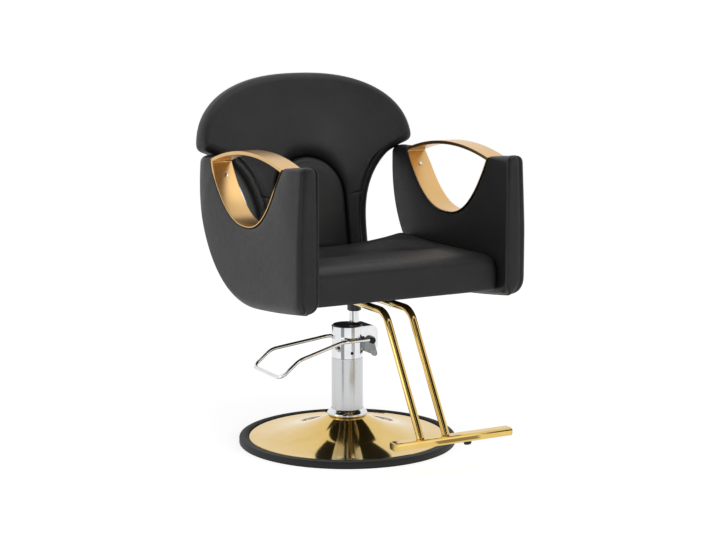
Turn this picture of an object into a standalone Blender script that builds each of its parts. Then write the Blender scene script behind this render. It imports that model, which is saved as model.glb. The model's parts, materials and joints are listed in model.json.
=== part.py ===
"""Hydraulic styling chair: trumpet base, oil pump column with a foot pedal, padded seat between two
basket arms with gold rails, mushroom back and a gold footrest. Metres, +Z up, the sitter faces -Y."""
import bmesh
import bpy
from math import atan, cos, pi, radians, sin, tan
from mathutils import Vector

# Shared values
GAP = 0.0003                     # between pieces that touch
OVERRUN = 0.010                  # cutters run this far past the face they open
FLATNESS = 1e-7                  # a face bent more than this is split into triangles
SHARP_EDGE = radians(40)         # steeper edges stay crisp
BASE_SIDES = 36                  # facets of the base
COLUMN_SIDES = 28                # facets of the pump column
RAM_SIDES = 20                   # facets of the ram and its fits
TUBE_SIDES = 12                  # facets of the posts and the plunger
ROD_SIDES = 8                    # facets of the pedal's rod and of bolt holes
PAN_SIDES = 10                   # facets of round screw heads
HEX_HEAD = 1.65                  # a bolt head's radius over its shank's
HEX_HEIGHT = 1.25                # a bolt head's height over its shank's radius

# Base, turned about the column
BASE_RADIUS = 0.2925
RING_HEIGHT = 0.0175
RING_WIDTH = 0.0242              # rubber seen round the dome
RING_LEDGE_HEIGHT = 0.0055       # ledge under the weight plate
RING_LEDGE_WIDTH = 0.022
RING_EDGE = 0.004
PLATE_THICKNESS = 0.008
PLATE_HOLE_RADIUS = 0.020
DOME_SHEET = 0.0025
DOME_TOP_Z = 0.073
DOME_SHELF = 0.0075              # dome's flat top outside the column
DOME_FLARE = 2.1                 # higher is flatter outside and steeper at the neck
DOME_STEPS = 7
COLLAR_WIDTH = 0.0115            # outside the column
COLLAR_HEIGHT = 0.019
COLLAR_STEPS = 4

# Pump column
SLEEVE_RADIUS = 0.0425
SLEEVE_WALL = 0.002
SLEEVE_TOP_Z = 0.2328
CYLINDER_SLACK = 0.0005          # between pump cylinder and sleeve
CYLINDER_FLOOR = 0.010
BORE_WALL = 0.0031               # thinnest wall beside the bore, which lies off the column's axis
FLANGE_MARGIN = 0.015            # outside the bolt circle
FLANGE_THICKNESS = 0.010
BASE_BOLTS = 4
BASE_BOLT_STANDOFF = 0.0145      # bolt circle outside the column
BASE_BOLT_RADIUS = 0.004
HEAD_HEIGHT = 0.085
COVER_INSET = 0.003              # top cover inside the column's outline
COVER_THICKNESS = 0.0032
COVER_EDGE = 0.0013
WIPER_HEIGHT = 0.0075
WIPER_WIDTH = 0.0030
WIPER_LIP = 0.0010
HEAD_SCREW_RADIUS = 0.0042
HEAD_SCREW_SHANK = 0.0038
HEAD_SCREW_LENGTH = 0.010
HEAD_SCREW_PROUD = 0.0011
HEAD_SCREWS = ((-150, 0.030), (-100.5, 0.016))   # degrees round the column, height in the head

# Ram and the socket that the seat turns on
RAM_RADIUS = 0.0130
RAM_SHOW = 0.0311                # rod seen over the wiper at the lowest stop
SPIGOT_RADIUS = 0.0100
SPIGOT_CLEARANCE = 0.0092        # spigot's end under the mounting plate
SOCKET_RADIUS = 0.0190
SOCKET_HEIGHT = 0.0546
SOCKET_EDGE = 0.0019
PISTON_RADIUS = 0.0150
PISTON_HEIGHT = 0.020
PISTON_REST = 0.0209             # over the bore's floor at the lowest stop
PISTON_CORE_RADIUS = 0.0070
PISTON_CLEARANCE = 0.0004
SEAL_HEIGHT = 0.005
SEAL_DEPTH = 0.0025

# Pedal and plunger; places from the pivot, ahead is away from the column
PIVOT_STANDOFF = 0.0100          # outside the column's face
PIVOT_RISE = 0.0459              # over the head's underside
PIN_RADIUS = 0.0050
PIN_HEAD_RADIUS = 0.0085
PIN_HEAD_HEIGHT = 0.0055
EAR_REACH = 0.0230               # ear's end ahead of the pivot
EAR_BACK = 0.0312                # ear's root behind the pivot, inside the column
EAR_DROP = 0.0230
EAR_ROUND = 0.018
EAR_STEPS = 4
CHEEK_THICKNESS = 0.009
CHEEK_EYE = 0.0115               # radius of metal round the pin
CHEEK_BACK = 0.0225
CHEEK_DEPTH = 0.0253
CHEEK_STEPS = 6
ROD_CLEARANCE = 0.0008           # cheek's outer face outside the column's face
BRIDGE_AHEAD = 0.0095
BRIDGE_DROP = 0.0370
BRIDGE_RADIUS = 0.0045
BRIDGE_BOSS = 0.0072             # radius of metal round the bridge
ROD_RADIUS = 0.0050
ROD_START = 0.0120               # rod's ends behind the pivot
ROD_RISE = 0.0040
KNEE_REACH = 0.0930
SHOULDER_REACH = 0.2390
SHOULDER_DROP = 0.0230
LOOP_REACH = 0.2930
LOOP_DROP = 0.0650
LOOP_HALF_WIDTH = 0.0830
LOOP_CORNER = 0.022
LOOP_STEPS = 3
PLUNGER_AHEAD = 0.0145
PLUNGER_RADIUS = 0.0055
PLUNGER_TOP_DROP = 0.0030
PLUNGER_SLACK = 0.0004
SPRING_CHAMBER = 0.0240          # height over the plunger
SPRING_WIRE = 0.0006             # wire radius
SPRING_RADIUS = 0.0042
SPRING_TURNS = 4
SPRING_POINTS = 8                # points a turn
SPRING_SIDES = 5

# Seat; from here on heights are over the mounting plate's underside, places from the swivel axis
PLATE_WIDTH = 0.190
PLATE_FRONT_Y = -0.145
PLATE_REAR_Y = 0.105
MOUNT_PLATE_THICKNESS = 0.006
MOUNT_BOLT_MARGIN = 0.020        # from the plate's edges
MOUNT_BOLT_RADIUS = 0.004
BOLT_SKIN = 0.003                # board left over a bolt's tip
BOARD_THICKNESS = 0.014
BOARD_INSET = 0.075              # behind the cushion's front
BOARD_REAR_INSET = 0.005
SEAT_HALF_WIDTH = 0.2705
SEAT_FRONT_Y = -0.287
SEAT_REAR_Y = 0.2050
SEAT_BOTTOM_EDGE = 0.006
SEAT_SIDE_HEIGHT = 0.078         # straight side under the edge roll
SEAT_ROLL = 0.020                # rise of the edge roll
SEAT_ROLL_INSET = 0.026
SEAT_CROWN = 0.006
SEAT_DISH = 0.006                # hollow behind the front roll
SEAT_SAG = 0.024                 # rear edge's middle under its corners
SEAT_PULL_IN = 0.003             # sides drawn in between the corners
SEAT_CORNER = 0.022
SEAT_ROWS = 9
SEAT_COLUMNS = 10
RAIL_WIDTH = 0.0235
RAIL_HEIGHT = 0.042
RAIL_FRONT_Y = -0.190
RAIL_REAR_Y = 0.140
BOLT_ROOM = 0.022                # space inside the rail for a bolt head and spanner

# Arms
ARM_CLEARANCE = 0.0015           # seat side to arm
ARM_THICKNESS = 0.062
ARM_TOP_LEAN = 0.0075            # outer face leans in towards the top
ARM_REAR_Y = 0.2755
ARM_HORN_Z = 0.3518
ARM_SHOULDER_Z = 0.3028
ARM_LOW_Y = -0.030
ARM_LOW_Z = -0.0180
ARM_SWEEP = 2.15                 # 2 is an ellipse, higher is squarer
ARM_SWEEP_STEPS = 10
ARM_FRONT_Y = -0.3225
ARM_FRONT_LOW_Z = 0.0080
ARM_FRONT_CORNER = 0.030
ARM_FRONT_TOP_Z = 0.3750
ARM_BOTTOM_ROUND = 0.046
ARM_EDGE_ROUND = 0.013
ARM_INNER_ROUND = 0.009
ARM_LIP = 0.004
ARM_CROWN = 0.003
ARM_END_ROUND = 0.018
ARM_TIP_RISE = 0.3               # share of the end's rounding that is left beside the cut
CORE_THICKNESS = 0.018
CORE_MARGIN = 0.022
CORE_LIP = 0.005                 # core behind the pad's edge at the cut
CORE_DEPTH = 0.018               # padding between arm's inner face and core
CORE_SKIN = 0.0036               # core left over a bolt's tip
ARM_BOLT_RISE = 0.0235           # over the seat board
ARM_BOLT_RADIUS = 0.0035
ARM_BOLTS_Y = (-0.115, 0.075)

# Gold rails in the arms
HORN_DEPTH = 0.0820              # padding behind the cut's rear tip
FRONT_DEPTH = 0.0945             # padding ahead of its front tip
CUT_REAR_RISE = 0.0010           # rear tip over the horn
CUT_FRONT_DROP = 0.0112          # front tip under the arm's front top
CUT_LOW_Y = -0.025
CUT_LOW_Z = 0.1958
CUT_POWER = 2.35                 # 2 is a parabola, higher is a flatter bottom
GOLD_SHEET = 0.0030
GOLD_SETBACK = 0.0002            # inside the arm's faces
ARCH_THICKNESS = 0.0095
ARCH_RISE = 0.0315
ARCH_STEPS = 10
RAIL_SCREW_RADIUS = 0.0022
RAIL_SCREW_HEAD = 0.0048
RAIL_SCREW_PROUD = 0.0022
RAIL_SCREW_LENGTH = 0.024
RAIL_SCREW_SHARE = 0.17          # along the cut from its tips

# Back
BACK_FOOT_Z = 0.0428
BACK_CLEARANCE = 0.0109          # seat's rear to the middle of the panel's foot
BACK_LEAN = radians(10.6)
BACK_PLAN_RADIUS = 1.7           # hollow in plan, so its wings come forward
BACK_THICKNESS = 0.065
STEM_HALF_WIDTH = 0.1640
STEM_TOP_Z = 0.0900              # where it starts to widen
FLARE_START = 3.0                # powers of its curve, lower widens sooner
FLARE_END = 1.08
STEM_ROWS = 2
NECK_INSET = 0.0200              # inside the arms
NECK_RISE = 0.0240               # to the head's lowest edge
NECK_ROWS = 8
HEAD_CLEARANCE = 0.0080          # over the arms' horns
HEAD_TALL = 0.2015
HEAD_OVERHANG = 0.0500           # outside the arms' inner faces
HEAD_SQUARE = 2.35               # 2 is an ellipse, higher is squarer
HEAD_CORNER = 0.022
HEAD_ROWS = 10
BACK_EDGE_ROUND = 0.013
BACK_CROWN = 0.007
BACK_COLUMNS = 10
LUMBAR_HALF_WIDTH = 0.1080
LUMBAR_SPRING_Z = 0.2208         # where its round top starts
LUMBAR_CREASE = 0.0030
LUMBAR_BACKING = 0.0100          # panel between the pad and the board
LUMBAR_EDGE = 0.012
LUMBAR_CROWN = 0.006
LUMBAR_COLUMNS = 6
BACK_BOARD_THICKNESS = 0.012
BACK_BOARD_HALF_WIDTH = 0.115
BACK_BOARD_TOP_Z = 0.2778
BACK_BOARD_SKIN = 0.009          # padding behind the board
BACK_BOARD_ROWS = 5
BRACKET_X = 0.085
BRACKET_WIDTH = 0.040
BRACKET_THICKNESS = 0.006
BRACKET_BOLT_SETBACK = 0.023     # seat bolt from the board's rear edge
BRACKET_TAIL = 0.025             # bracket ahead of that bolt
BRACKET_TOP_Z = 0.1878
BRACKET_BOLT_DROP = 0.030        # back bolt under the bracket's top
BRACKET_BOLT_RADIUS = 0.0035

# Footrest
SADDLE_INSET = 0.005             # inside the mounting plate's sides
SADDLE_SETBACK = 0.010           # behind the plate's front
SADDLE_LENGTH = 0.093
SADDLE_THICKNESS = 0.006
POST_RADIUS = 0.0098
POST_WALL = 0.002
POST_X = 0.037
POST_SHORT = 0.004               # posts' ends ahead of the saddle's rear
POST_KNEE_Y = -0.2350            # where the level run and the slope would meet
POST_BEND_RADIUS = 0.055
POST_BEND_STEPS = 5
POST_SLOPE = radians(31.7)       # from the vertical
FOOTREST_DROP = 0.3107           # bar's top under the mounting plate
BAR_LENGTH = 0.345
BAR_OFFSET = 0.055               # towards the sitter's left, as photographed
BAR_DEPTH = 0.036
BAR_HEIGHT = 0.0205
BAR_WALL = 0.002
BAR_EDGE = 0.006
CAP_LIP = 0.004
CAP_PLUG = 0.015


def clear_scene():
    for obj in list(bpy.data.objects):
        bpy.data.objects.remove(obj, do_unlink=True)


def finish(name, red, green, blue, roughness, metallic):
    material = bpy.data.materials.new(name)
    material.use_nodes = True
    shader = material.node_tree.nodes["Principled BSDF"]
    shader.inputs["Base Color"].default_value = (red, green, blue, 1)
    shader.inputs["Roughness"].default_value = roughness
    shader.inputs["Metallic"].default_value = metallic
    return material


def empty(name, parent, place):
    obj = bpy.data.objects.new(name, None)
    bpy.context.collection.objects.link(obj)
    obj.parent = parent
    obj.location = place
    return obj


def is_flat(face):
    middle = face.calc_center_median()
    return all(abs((vert.co - middle).dot(face.normal)) < FLATNESS for vert in face.verts)


def place(name, bm, material, parent, location=(0, 0, 0)):
    bmesh.ops.recalc_face_normals(bm, faces=bm.faces)
    twisted = [face for face in bm.faces if not is_flat(face)]
    bmesh.ops.triangulate(bm, faces=twisted)
    mesh = bpy.data.meshes.new(name)
    bm.to_mesh(mesh)
    bm.free()
    mesh.materials.append(material)
    mesh.shade_smooth()
    mesh.set_sharp_from_angle(angle=SHARP_EDGE)
    obj = bpy.data.objects.new(name, mesh)
    bpy.context.collection.objects.link(obj)
    obj.parent = parent
    obj.location = location
    return obj


def bridge(bm, first, second):
    count = len(first)
    for k in range(count):
        bm.faces.new((first[k], first[(k + 1) % count], second[(k + 1) % count], second[k]))


def lofted(name, rings, material, parent, loop=False, location=(0, 0, 0)):
    """A skin over closed rings of points; its ends are capped, or joined when the rings form a loop."""
    bm = bmesh.new()
    rows = [[bm.verts.new(point) for point in ring] for ring in rings]
    for first, second in zip(rows, rows[1:]):
        bridge(bm, first, second)
    if loop:
        bridge(bm, rows[-1], rows[0])
    else:
        bm.faces.new(rows[0])
        bm.faces.new(rows[-1])
    return place(name, bm, material, parent, location)


def circle(radius, z, sides):
    turns = [2 * pi * k / sides for k in range(sides)]
    return [Vector((radius * cos(a), radius * sin(a), z)) for a in turns]


def turned(name, profile, material, parent, sides, location=(0, 0, 0)):
    """A solid turned about the vertical from (radius, height) points, from one end to the other."""
    return lofted(name, [circle(r, z, sides) for r, z in profile], material, parent, location=location)


def turned_ring(name, profile, material, parent, sides, location=(0, 0, 0)):
    """A ring turned about the vertical from a closed profile of (radius, height) points."""
    rings = []
    for k in range(sides):
        a = 2 * pi * k / sides
        rings.append([Vector((r * cos(a), r * sin(a), z)) for r, z in profile])
    return lofted(name, rings, material, parent, loop=True, location=location)


def box(name, low, high, material, parent):
    (x0, y0, z0), (x1, y1, z1) = low, high
    corners = ((x0, y0), (x1, y0), (x1, y1), (x0, y1))
    return lofted(name, [[Vector((x, y, z)) for x, y in corners] for z in (z0, z1)], material, parent)


def swept(name, path, radius, material, parent, sides, bore=0.0, end_z=None):
    """A rod along a path, or a tube when it has a bore; end_z cuts its last end level."""
    last = len(path) - 1
    tangents = []
    for k in range(last + 1):
        tangents.append((path[min(k + 1, last)] - path[max(k - 1, 0)]).normalized())
    across = tangents[0].orthogonal().normalized()
    rings = []
    for k, (point, tangent) in enumerate(zip(path, tangents)):
        across = (across - tangent * across.dot(tangent)).normalized()
        other = tangent.cross(across)
        stretch = 1.0
        if 0 < k < last:
            stretch = 1 / cos((path[k + 1] - point).angle(point - path[k - 1]) / 2)
        bend = tangents[min(k + 1, last)] - tangents[max(k - 1, 0)]
        bend = bend.normalized() if bend.length > FLATNESS else Vector((0, 0, 0))
        outer, inner = [], []
        for s in range(sides):
            a = 2 * pi * s / sides
            spoke = across * cos(a) + other * sin(a)
            spoke = spoke + bend * spoke.dot(bend) * (stretch - 1)
            for ring, r in ((outer, radius), (inner, bore)):
                spot = point + spoke * r
                if end_z is not None and k == last:
                    spot = spot + tangent * ((end_z - spot.z) / tangent.z)
                ring.append(spot)
        rings.append((outer, inner))
    if bore:
        loop = [outer for outer, inner in rings] + [inner for outer, inner in reversed(rings)]
        return lofted(name, loop, material, parent, loop=True)
    return lofted(name, [outer for outer, inner in rings], material, parent)


def rounded_path(corners, radius, steps):
    """A path through corner points whose inner corners are turned on a bend radius."""
    path = [corners[0]]
    for before, corner, after in zip(corners, corners[1:], corners[2:]):
        back = (before - corner).normalized()
        ahead = (after - corner).normalized()
        half = back.angle(ahead) / 2
        centre = corner + (back + ahead).normalized() * (radius / sin(half))
        start = corner + back * (radius / tan(half)) - centre
        end = corner + ahead * (radius / tan(half)) - centre
        for k in range(steps + 1):
            spoke = start.lerp(end, k / steps)
            path.append(centre + spoke.normalized() * radius)
    path.append(corners[-1])
    return path


def screw(name, head, direction, length, radius, head_radius, head_height, material, parent, sides=PAN_SIDES):
    """A screw whose head sits on the point and whose shank runs along the direction."""
    profile = ((radius, -length), (radius, 0), (head_radius, 0), (head_radius, head_height))
    obj = lofted(name, [circle(r, z, sides) for r, z in profile], material, parent, location=head)
    obj.rotation_euler = (-Vector(direction)).to_track_quat("Z", "Y").to_euler()
    return obj


def hex_bolt(name, head, direction, length, radius, parent):
    return screw(name, head, direction, length, radius, HEX_HEAD * radius, HEX_HEIGHT * radius, steel,
                 parent, sides=6)


def guide(obj):
    obj.hide_render = True
    obj.display_type = "WIRE"
    return obj


def shape(obj, operation, *others):
    for other in others:
        modifier = obj.modifiers.new(other.name, "BOOLEAN")
        modifier.operation = operation
        modifier.object = other


def cut(obj, *cutters):
    shape(obj, "DIFFERENCE", *cutters)


def drill(name, start, end, radius, parent, pieces, sides=ROD_SIDES):
    """Cuts a round hole from start to end through pieces, its facets outside the radius."""
    start, end = Vector(start), Vector(end)
    corner = radius / cos(pi / sides)
    rings = [circle(corner, 0, sides), circle(corner, (end - start).length, sides)]
    cutter = guide(lofted(name, rings, steel, parent, location=start))
    cutter.rotation_euler = (end - start).to_track_quat("Z", "Y").to_euler()
    for piece in pieces:
        cut(piece, cutter)


def rounded_section(width, height, radius, steps=3):
    """Points of a rectangle with round corners, about its middle."""
    points = []
    for sx, sy, first in ((1, 1, 0), (-1, 1, 1), (-1, -1, 2), (1, -1, 3)):
        for k in range(steps + 1):
            a = (first + k / steps) * pi / 2
            points.append((sx * (width / 2 - radius) + radius * cos(a),
                           sy * (height / 2 - radius) + radius * sin(a)))
    return points


def slab(name, rows, levels, crown, to_space, material, parent):
    """A padded slab from rows of plan points. Levels are (inset, height) of its edge from back to front;
    crown gives the height added on the front, and to_space puts a plan point and a height into space."""
    last, columns = len(rows) - 1, len(rows[0]) - 1
    edge = [(i, columns) for i in range(last + 1)] + [(last, j) for j in range(columns - 1, 0, -1)]
    edge += [(i, 0) for i in range(last, -1, -1)] + [(0, j) for j in range(1, columns)]
    flat = [Vector(rows[i][j]) for i, j in edge]
    count = len(flat)
    inward = []
    for k in range(count):
        run = flat[(k + 1) % count] - flat[k - 1]
        inward.append(Vector((-run.y, run.x)).normalized())
    bm = bmesh.new()
    rings = []
    for inset, height in levels:
        rings.append([bm.verts.new(to_space(p + n * inset, height)) for p, n in zip(flat, inward)])
    for first, second in zip(rings, rings[1:]):
        bridge(bm, first, second)
    for ring, (inset, height), swell in ((rings[0], levels[0], None), (rings[-1], levels[-1], crown)):
        grid = {spot: vert for spot, vert in zip(edge, ring)}
        rim = {spot: p + n * inset for spot, p, n in zip(edge, flat, inward)}
        for i in range(1, last):
            first_x, last_x = rows[i][0][0], rows[i][columns][0]
            for j in range(1, columns):
                share = (rows[i][j][0] - first_x) / (last_x - first_x)
                spot = rim[(i, 0)].lerp(rim[(i, columns)], share)
                lift = swell(i / last, j / columns, spot) if swell else 0.0
                grid[(i, j)] = bm.verts.new(to_space(spot, height + lift))
        for i in range(last):
            for j in range(columns):
                bm.faces.new((grid[(i, j)], grid[(i, j + 1)], grid[(i + 1, j + 1)], grid[(i + 1, j)]))
    return place(name, bm, material, parent)


clear_scene()
gold = finish("polished_gold", 0.66, 0.47, 0.20, 0.12, 1.0)
satin_gold = finish("brushed_gold", 0.70, 0.46, 0.20, 0.30, 1.0)
chrome = finish("chrome", 0.72, 0.72, 0.73, 0.08, 1.0)
satin = finish("brushed_aluminium", 0.58, 0.58, 0.58, 0.35, 1.0)
steel = finish("steel", 0.35, 0.35, 0.36, 0.45, 1.0)
black_metal = finish("black_enamel", 0.012, 0.012, 0.012, 0.35, 0.0)
rubber = finish("black_rubber", 0.018, 0.018, 0.018, 0.7, 0.0)
plastic = finish("black_plastic", 0.010, 0.010, 0.010, 0.4, 0.0)
leather = finish("black_leatherette", 0.030, 0.030, 0.031, 0.42, 0.0)
plywood = finish("plywood", 0.45, 0.32, 0.19, 0.7, 0.0)

# Heights and places that several sections share
ring_inner = BASE_RADIUS - RING_WIDTH
plate_low = RING_LEDGE_HEIGHT + GAP
plate_top = plate_low + PLATE_THICKNESS
plate_radius = ring_inner - GAP
flange_low = plate_top + GAP
flange_top = flange_low + FLANGE_THICKNESS
head_low = SLEEVE_TOP_Z + GAP
head_top = head_low + HEAD_HEIGHT
cover_low = head_top + GAP
ram_shoulder = cover_low + WIPER_HEIGHT + RAM_SHOW
socket_low = ram_shoulder + GAP
seat_z = socket_low + SOCKET_HEIGHT + GAP
cylinder_radius = SLEEVE_RADIUS - SLEEVE_WALL - CYLINDER_SLACK
bore_radius = PISTON_RADIUS + PISTON_CLEARANCE
ram_offset = cylinder_radius - BORE_WALL - bore_radius
pivot_out = SLEEVE_RADIUS + PIVOT_STANDOFF
pivot_z = head_low + PIVOT_RISE

chair = empty("chair", None, (0, 0, 0))
column = empty("column_axis", chair, (-ram_offset, 0, 0))
ram_axis = empty("lift_axis", chair, (0, 0, 0))
swivel = empty("swivel_axis", chair, (0, 0, seat_z))
pedal = empty("pedal_hinge", chair, (pivot_out - ram_offset, 0, pivot_z))

# Base: rubber ring, weight plate, trumpet dome and collar
ledge_inner = ring_inner - RING_LEDGE_WIDTH
turned_ring("base_rubber_ring", [
    (ledge_inner, 0), (BASE_RADIUS - RING_EDGE, 0), (BASE_RADIUS, RING_EDGE),
    (BASE_RADIUS, RING_HEIGHT - RING_EDGE), (BASE_RADIUS - RING_EDGE, RING_HEIGHT), (ring_inner, RING_HEIGHT),
    (ring_inner, RING_LEDGE_HEIGHT), (ledge_inner, RING_LEDGE_HEIGHT)], rubber, column, BASE_SIDES)
base_plate = turned_ring("base_plate", [
    (PLATE_HOLE_RADIUS, plate_low), (plate_radius, plate_low), (plate_radius, plate_top),
    (PLATE_HOLE_RADIUS, plate_top)], steel, column, BASE_SIDES)

dome_hole = SLEEVE_RADIUS + GAP
dome_neck = SLEEVE_RADIUS + DOME_SHELF
dome_rim = plate_top + GAP
dome_top = []
for step in range(DOME_STEPS + 1):
    share = step / DOME_STEPS
    rise = (DOME_TOP_Z - dome_rim - DOME_SHEET) * share ** DOME_FLARE
    dome_top.append((plate_radius + (dome_neck - plate_radius) * share, dome_rim + DOME_SHEET + rise))
dome_under = []
for (r, z), (r_next, z_next) in zip(dome_top[1:], dome_top[:-1]):
    slope = atan((z - z_next) / (r_next - r))
    dome_under.append((r - DOME_SHEET * sin(slope), max(z - DOME_SHEET * cos(slope), dome_rim)))
turned_ring("base_dome", [(plate_radius, dome_rim)] + dome_top + [(dome_hole, DOME_TOP_Z)]
            + [(dome_hole, DOME_TOP_Z - DOME_SHEET)] + dome_under[::-1], gold, column, BASE_SIDES)

collar_low = DOME_TOP_Z + GAP
collar_half = COLLAR_HEIGHT / 2
collar = [(dome_hole, collar_low)]
for step in range(COLLAR_STEPS + 1):
    a = pi * (step / COLLAR_STEPS - 0.5)
    collar.append((SLEEVE_RADIUS + COLLAR_WIDTH - collar_half + collar_half * cos(a),
                   collar_low + collar_half + collar_half * sin(a)))
collar.append((dome_hole, collar_low + COLLAR_HEIGHT))
turned_ring("column_collar", collar, chrome, column, COLUMN_SIDES)

# Pump: cylinder with its flange, sleeve, head with the pedal's ear, cover and seal
turned_ring("column_sleeve", [
    (SLEEVE_RADIUS - SLEEVE_WALL, flange_top + GAP), (SLEEVE_RADIUS, flange_top + GAP),
    (SLEEVE_RADIUS, SLEEVE_TOP_Z), (SLEEVE_RADIUS - SLEEVE_WALL, SLEEVE_TOP_Z)], satin, column, COLUMN_SIDES)

bolt_circle = SLEEVE_RADIUS + BASE_BOLT_STANDOFF
flange_radius = bolt_circle + FLANGE_MARGIN
bore_floor = flange_low + CYLINDER_FLOOR
pump_cylinder = turned("pump_cylinder", [
    (flange_radius, flange_low), (flange_radius, flange_top), (cylinder_radius, flange_top),
    (cylinder_radius, SLEEVE_TOP_Z)], steel, column, COLUMN_SIDES)
drill("piston_bore", (ram_offset, 0, bore_floor), (ram_offset, 0, SLEEVE_TOP_Z + OVERRUN), bore_radius, column,
      [pump_cylinder], RAM_SIDES)

bolt_length = FLANGE_THICKNESS + GAP + PLATE_THICKNESS
for k in range(BASE_BOLTS):
    a = 2 * pi * (k + 0.5) / BASE_BOLTS
    spot = Vector((bolt_circle * cos(a), bolt_circle * sin(a), flange_top + GAP))
    over, under = Vector((0, 0, GAP)), Vector((0, 0, -bolt_length - OVERRUN))
    hex_bolt(f"base_bolt_{k + 1}", spot, (0, 0, -1), bolt_length, BASE_BOLT_RADIUS, column)
    drill(f"base_bolt_hole_{k + 1}", spot + over, spot + under, BASE_BOLT_RADIUS + GAP, column,
          [pump_cylinder, base_plate])

pump_head = turned("pump_head", [(SLEEVE_RADIUS, head_low), (SLEEVE_RADIUS, head_top)], chrome, column,
                   COLUMN_SIDES)
cheek_out = SLEEVE_RADIUS + ROD_CLEARANCE
cheek_in = cheek_out - CHEEK_THICKNESS
ear_half = cheek_in - GAP
ear_root, ear_end = pivot_out - EAR_BACK, pivot_out + EAR_REACH
ear_low, ear_top = pivot_z - EAR_DROP, head_top - GAP
ear_side = [(ear_root, ear_low), (ear_end, ear_low)]
for k in range(EAR_STEPS + 1):
    a = k / EAR_STEPS * pi / 2
    ear_side.append((ear_end - EAR_ROUND + EAR_ROUND * cos(a), ear_top - EAR_ROUND + EAR_ROUND * sin(a)))
ear_side.append((ear_root, ear_top))
ear_rings = [[Vector((x, y, z)) for x, z in ear_side] for y in (-ear_half, ear_half)]
shape(pump_head, "UNION", guide(lofted("pump_ear", ear_rings, chrome, column)))
plunger_out = pivot_out + PLUNGER_AHEAD
plunger_low = pivot_z - BRIDGE_DROP + BRIDGE_RADIUS + GAP
plunger_top = pivot_z - PLUNGER_TOP_DROP
chamber_top = plunger_top + SPRING_CHAMBER
drill("ram_hole", (ram_offset, 0, head_low - OVERRUN), (ram_offset, 0, head_top + OVERRUN), RAM_RADIUS + GAP,
      column, [pump_head], RAM_SIDES)
drill("plunger_hole", (plunger_out, 0, plunger_low), (plunger_out, 0, chamber_top),
      PLUNGER_RADIUS + PLUNGER_SLACK, column, [pump_head], TUBE_SIDES)
drill("pivot_hole", (pivot_out, -cheek_out, pivot_z), (pivot_out, cheek_out, pivot_z), PIN_RADIUS + GAP,
      column, [pump_head])

for k, (turn, rise) in enumerate(HEAD_SCREWS, 1):
    out = Vector((cos(radians(turn)), sin(radians(turn)), 0))
    face = out * (SLEEVE_RADIUS + GAP) + Vector((0, 0, head_low + rise))
    drill(f"head_screw_hole_{k}", face + out * OVERRUN, face - out * (HEAD_SCREW_LENGTH + GAP),
          HEAD_SCREW_SHANK + GAP, column, [pump_head])
    screw(f"head_screw_{k}", face, -out, HEAD_SCREW_LENGTH, HEAD_SCREW_SHANK, HEAD_SCREW_RADIUS,
          HEAD_SCREW_PROUD, steel, column)

cover_radius = SLEEVE_RADIUS - COVER_INSET
top_cover = turned("pump_top_cover", [
    (cover_radius, cover_low), (cover_radius, cover_low + COVER_THICKNESS - COVER_EDGE),
    (cover_radius - COVER_EDGE, cover_low + COVER_THICKNESS)], plastic, column, COLUMN_SIDES)
wiper_inner = RAM_RADIUS + GAP
wiper_radius = wiper_inner + WIPER_WIDTH
drill("wiper_hole", (ram_offset, 0, head_low), (ram_offset, 0, cover_low + COVER_THICKNESS + OVERRUN),
      wiper_radius + GAP, column, [top_cover], RAM_SIDES)
wiper_top = cover_low + WIPER_HEIGHT
turned_ring("ram_wiper_seal", [
    (wiper_inner, cover_low), (wiper_radius, cover_low), (wiper_radius, cover_low + COVER_THICKNESS),
    (wiper_inner + WIPER_LIP, wiper_top), (wiper_inner, wiper_top)],
    rubber, column, RAM_SIDES, location=(ram_offset, 0, 0))

# Ram: rod with a shoulder and spigot for the seat, piston and seal
piston_low = bore_floor + PISTON_REST
piston_top = piston_low + PISTON_HEIGHT
turned("lift_ram", [
    (PISTON_CORE_RADIUS, piston_low), (PISTON_CORE_RADIUS, piston_top + GAP), (RAM_RADIUS, piston_top + GAP),
    (RAM_RADIUS, ram_shoulder), (SPIGOT_RADIUS, ram_shoulder), (SPIGOT_RADIUS, seat_z - SPIGOT_CLEARANCE)],
    chrome, ram_axis, RAM_SIDES)
seal_low = piston_low + (PISTON_HEIGHT - SEAL_HEIGHT) / 2
seal_top = seal_low + SEAL_HEIGHT
groove = PISTON_RADIUS - SEAL_DEPTH
core_hole = PISTON_CORE_RADIUS + GAP
turned_ring("ram_piston", [
    (core_hole, piston_low), (PISTON_RADIUS, piston_low), (PISTON_RADIUS, seal_low - GAP),
    (groove, seal_low - GAP), (groove, seal_top + GAP), (PISTON_RADIUS, seal_top + GAP),
    (PISTON_RADIUS, piston_top), (core_hole, piston_top)], steel, ram_axis, RAM_SIDES)
turned_ring("piston_seal", [
    (groove + GAP, seal_low), (PISTON_RADIUS, seal_low), (PISTON_RADIUS, seal_top), (groove + GAP, seal_top)],
    rubber, ram_axis, RAM_SIDES)

# Pedal: yoke on the pin, bent loop welded to its cheeks; places from the pivot
cheek_side = []
for k in range(CHEEK_STEPS + 1):
    a = pi * (0.75 - k / CHEEK_STEPS)
    cheek_side.append((CHEEK_EYE * cos(a), CHEEK_EYE * sin(a)))
for k in range(CHEEK_STEPS + 1):
    a = -pi * k / CHEEK_STEPS
    cheek_side.append((BRIDGE_AHEAD + BRIDGE_BOSS * cos(a), -BRIDGE_DROP + BRIDGE_BOSS * sin(a)))
cheek_side += [(-CHEEK_BACK, -CHEEK_DEPTH), (-CHEEK_BACK, ROD_RISE - ROD_RADIUS)]


def cheek(name, low, high):
    rings = [[Vector((x, y, z)) for x, z in cheek_side] for y in (low, high)]
    return lofted(name, rings, steel, pedal)


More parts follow.
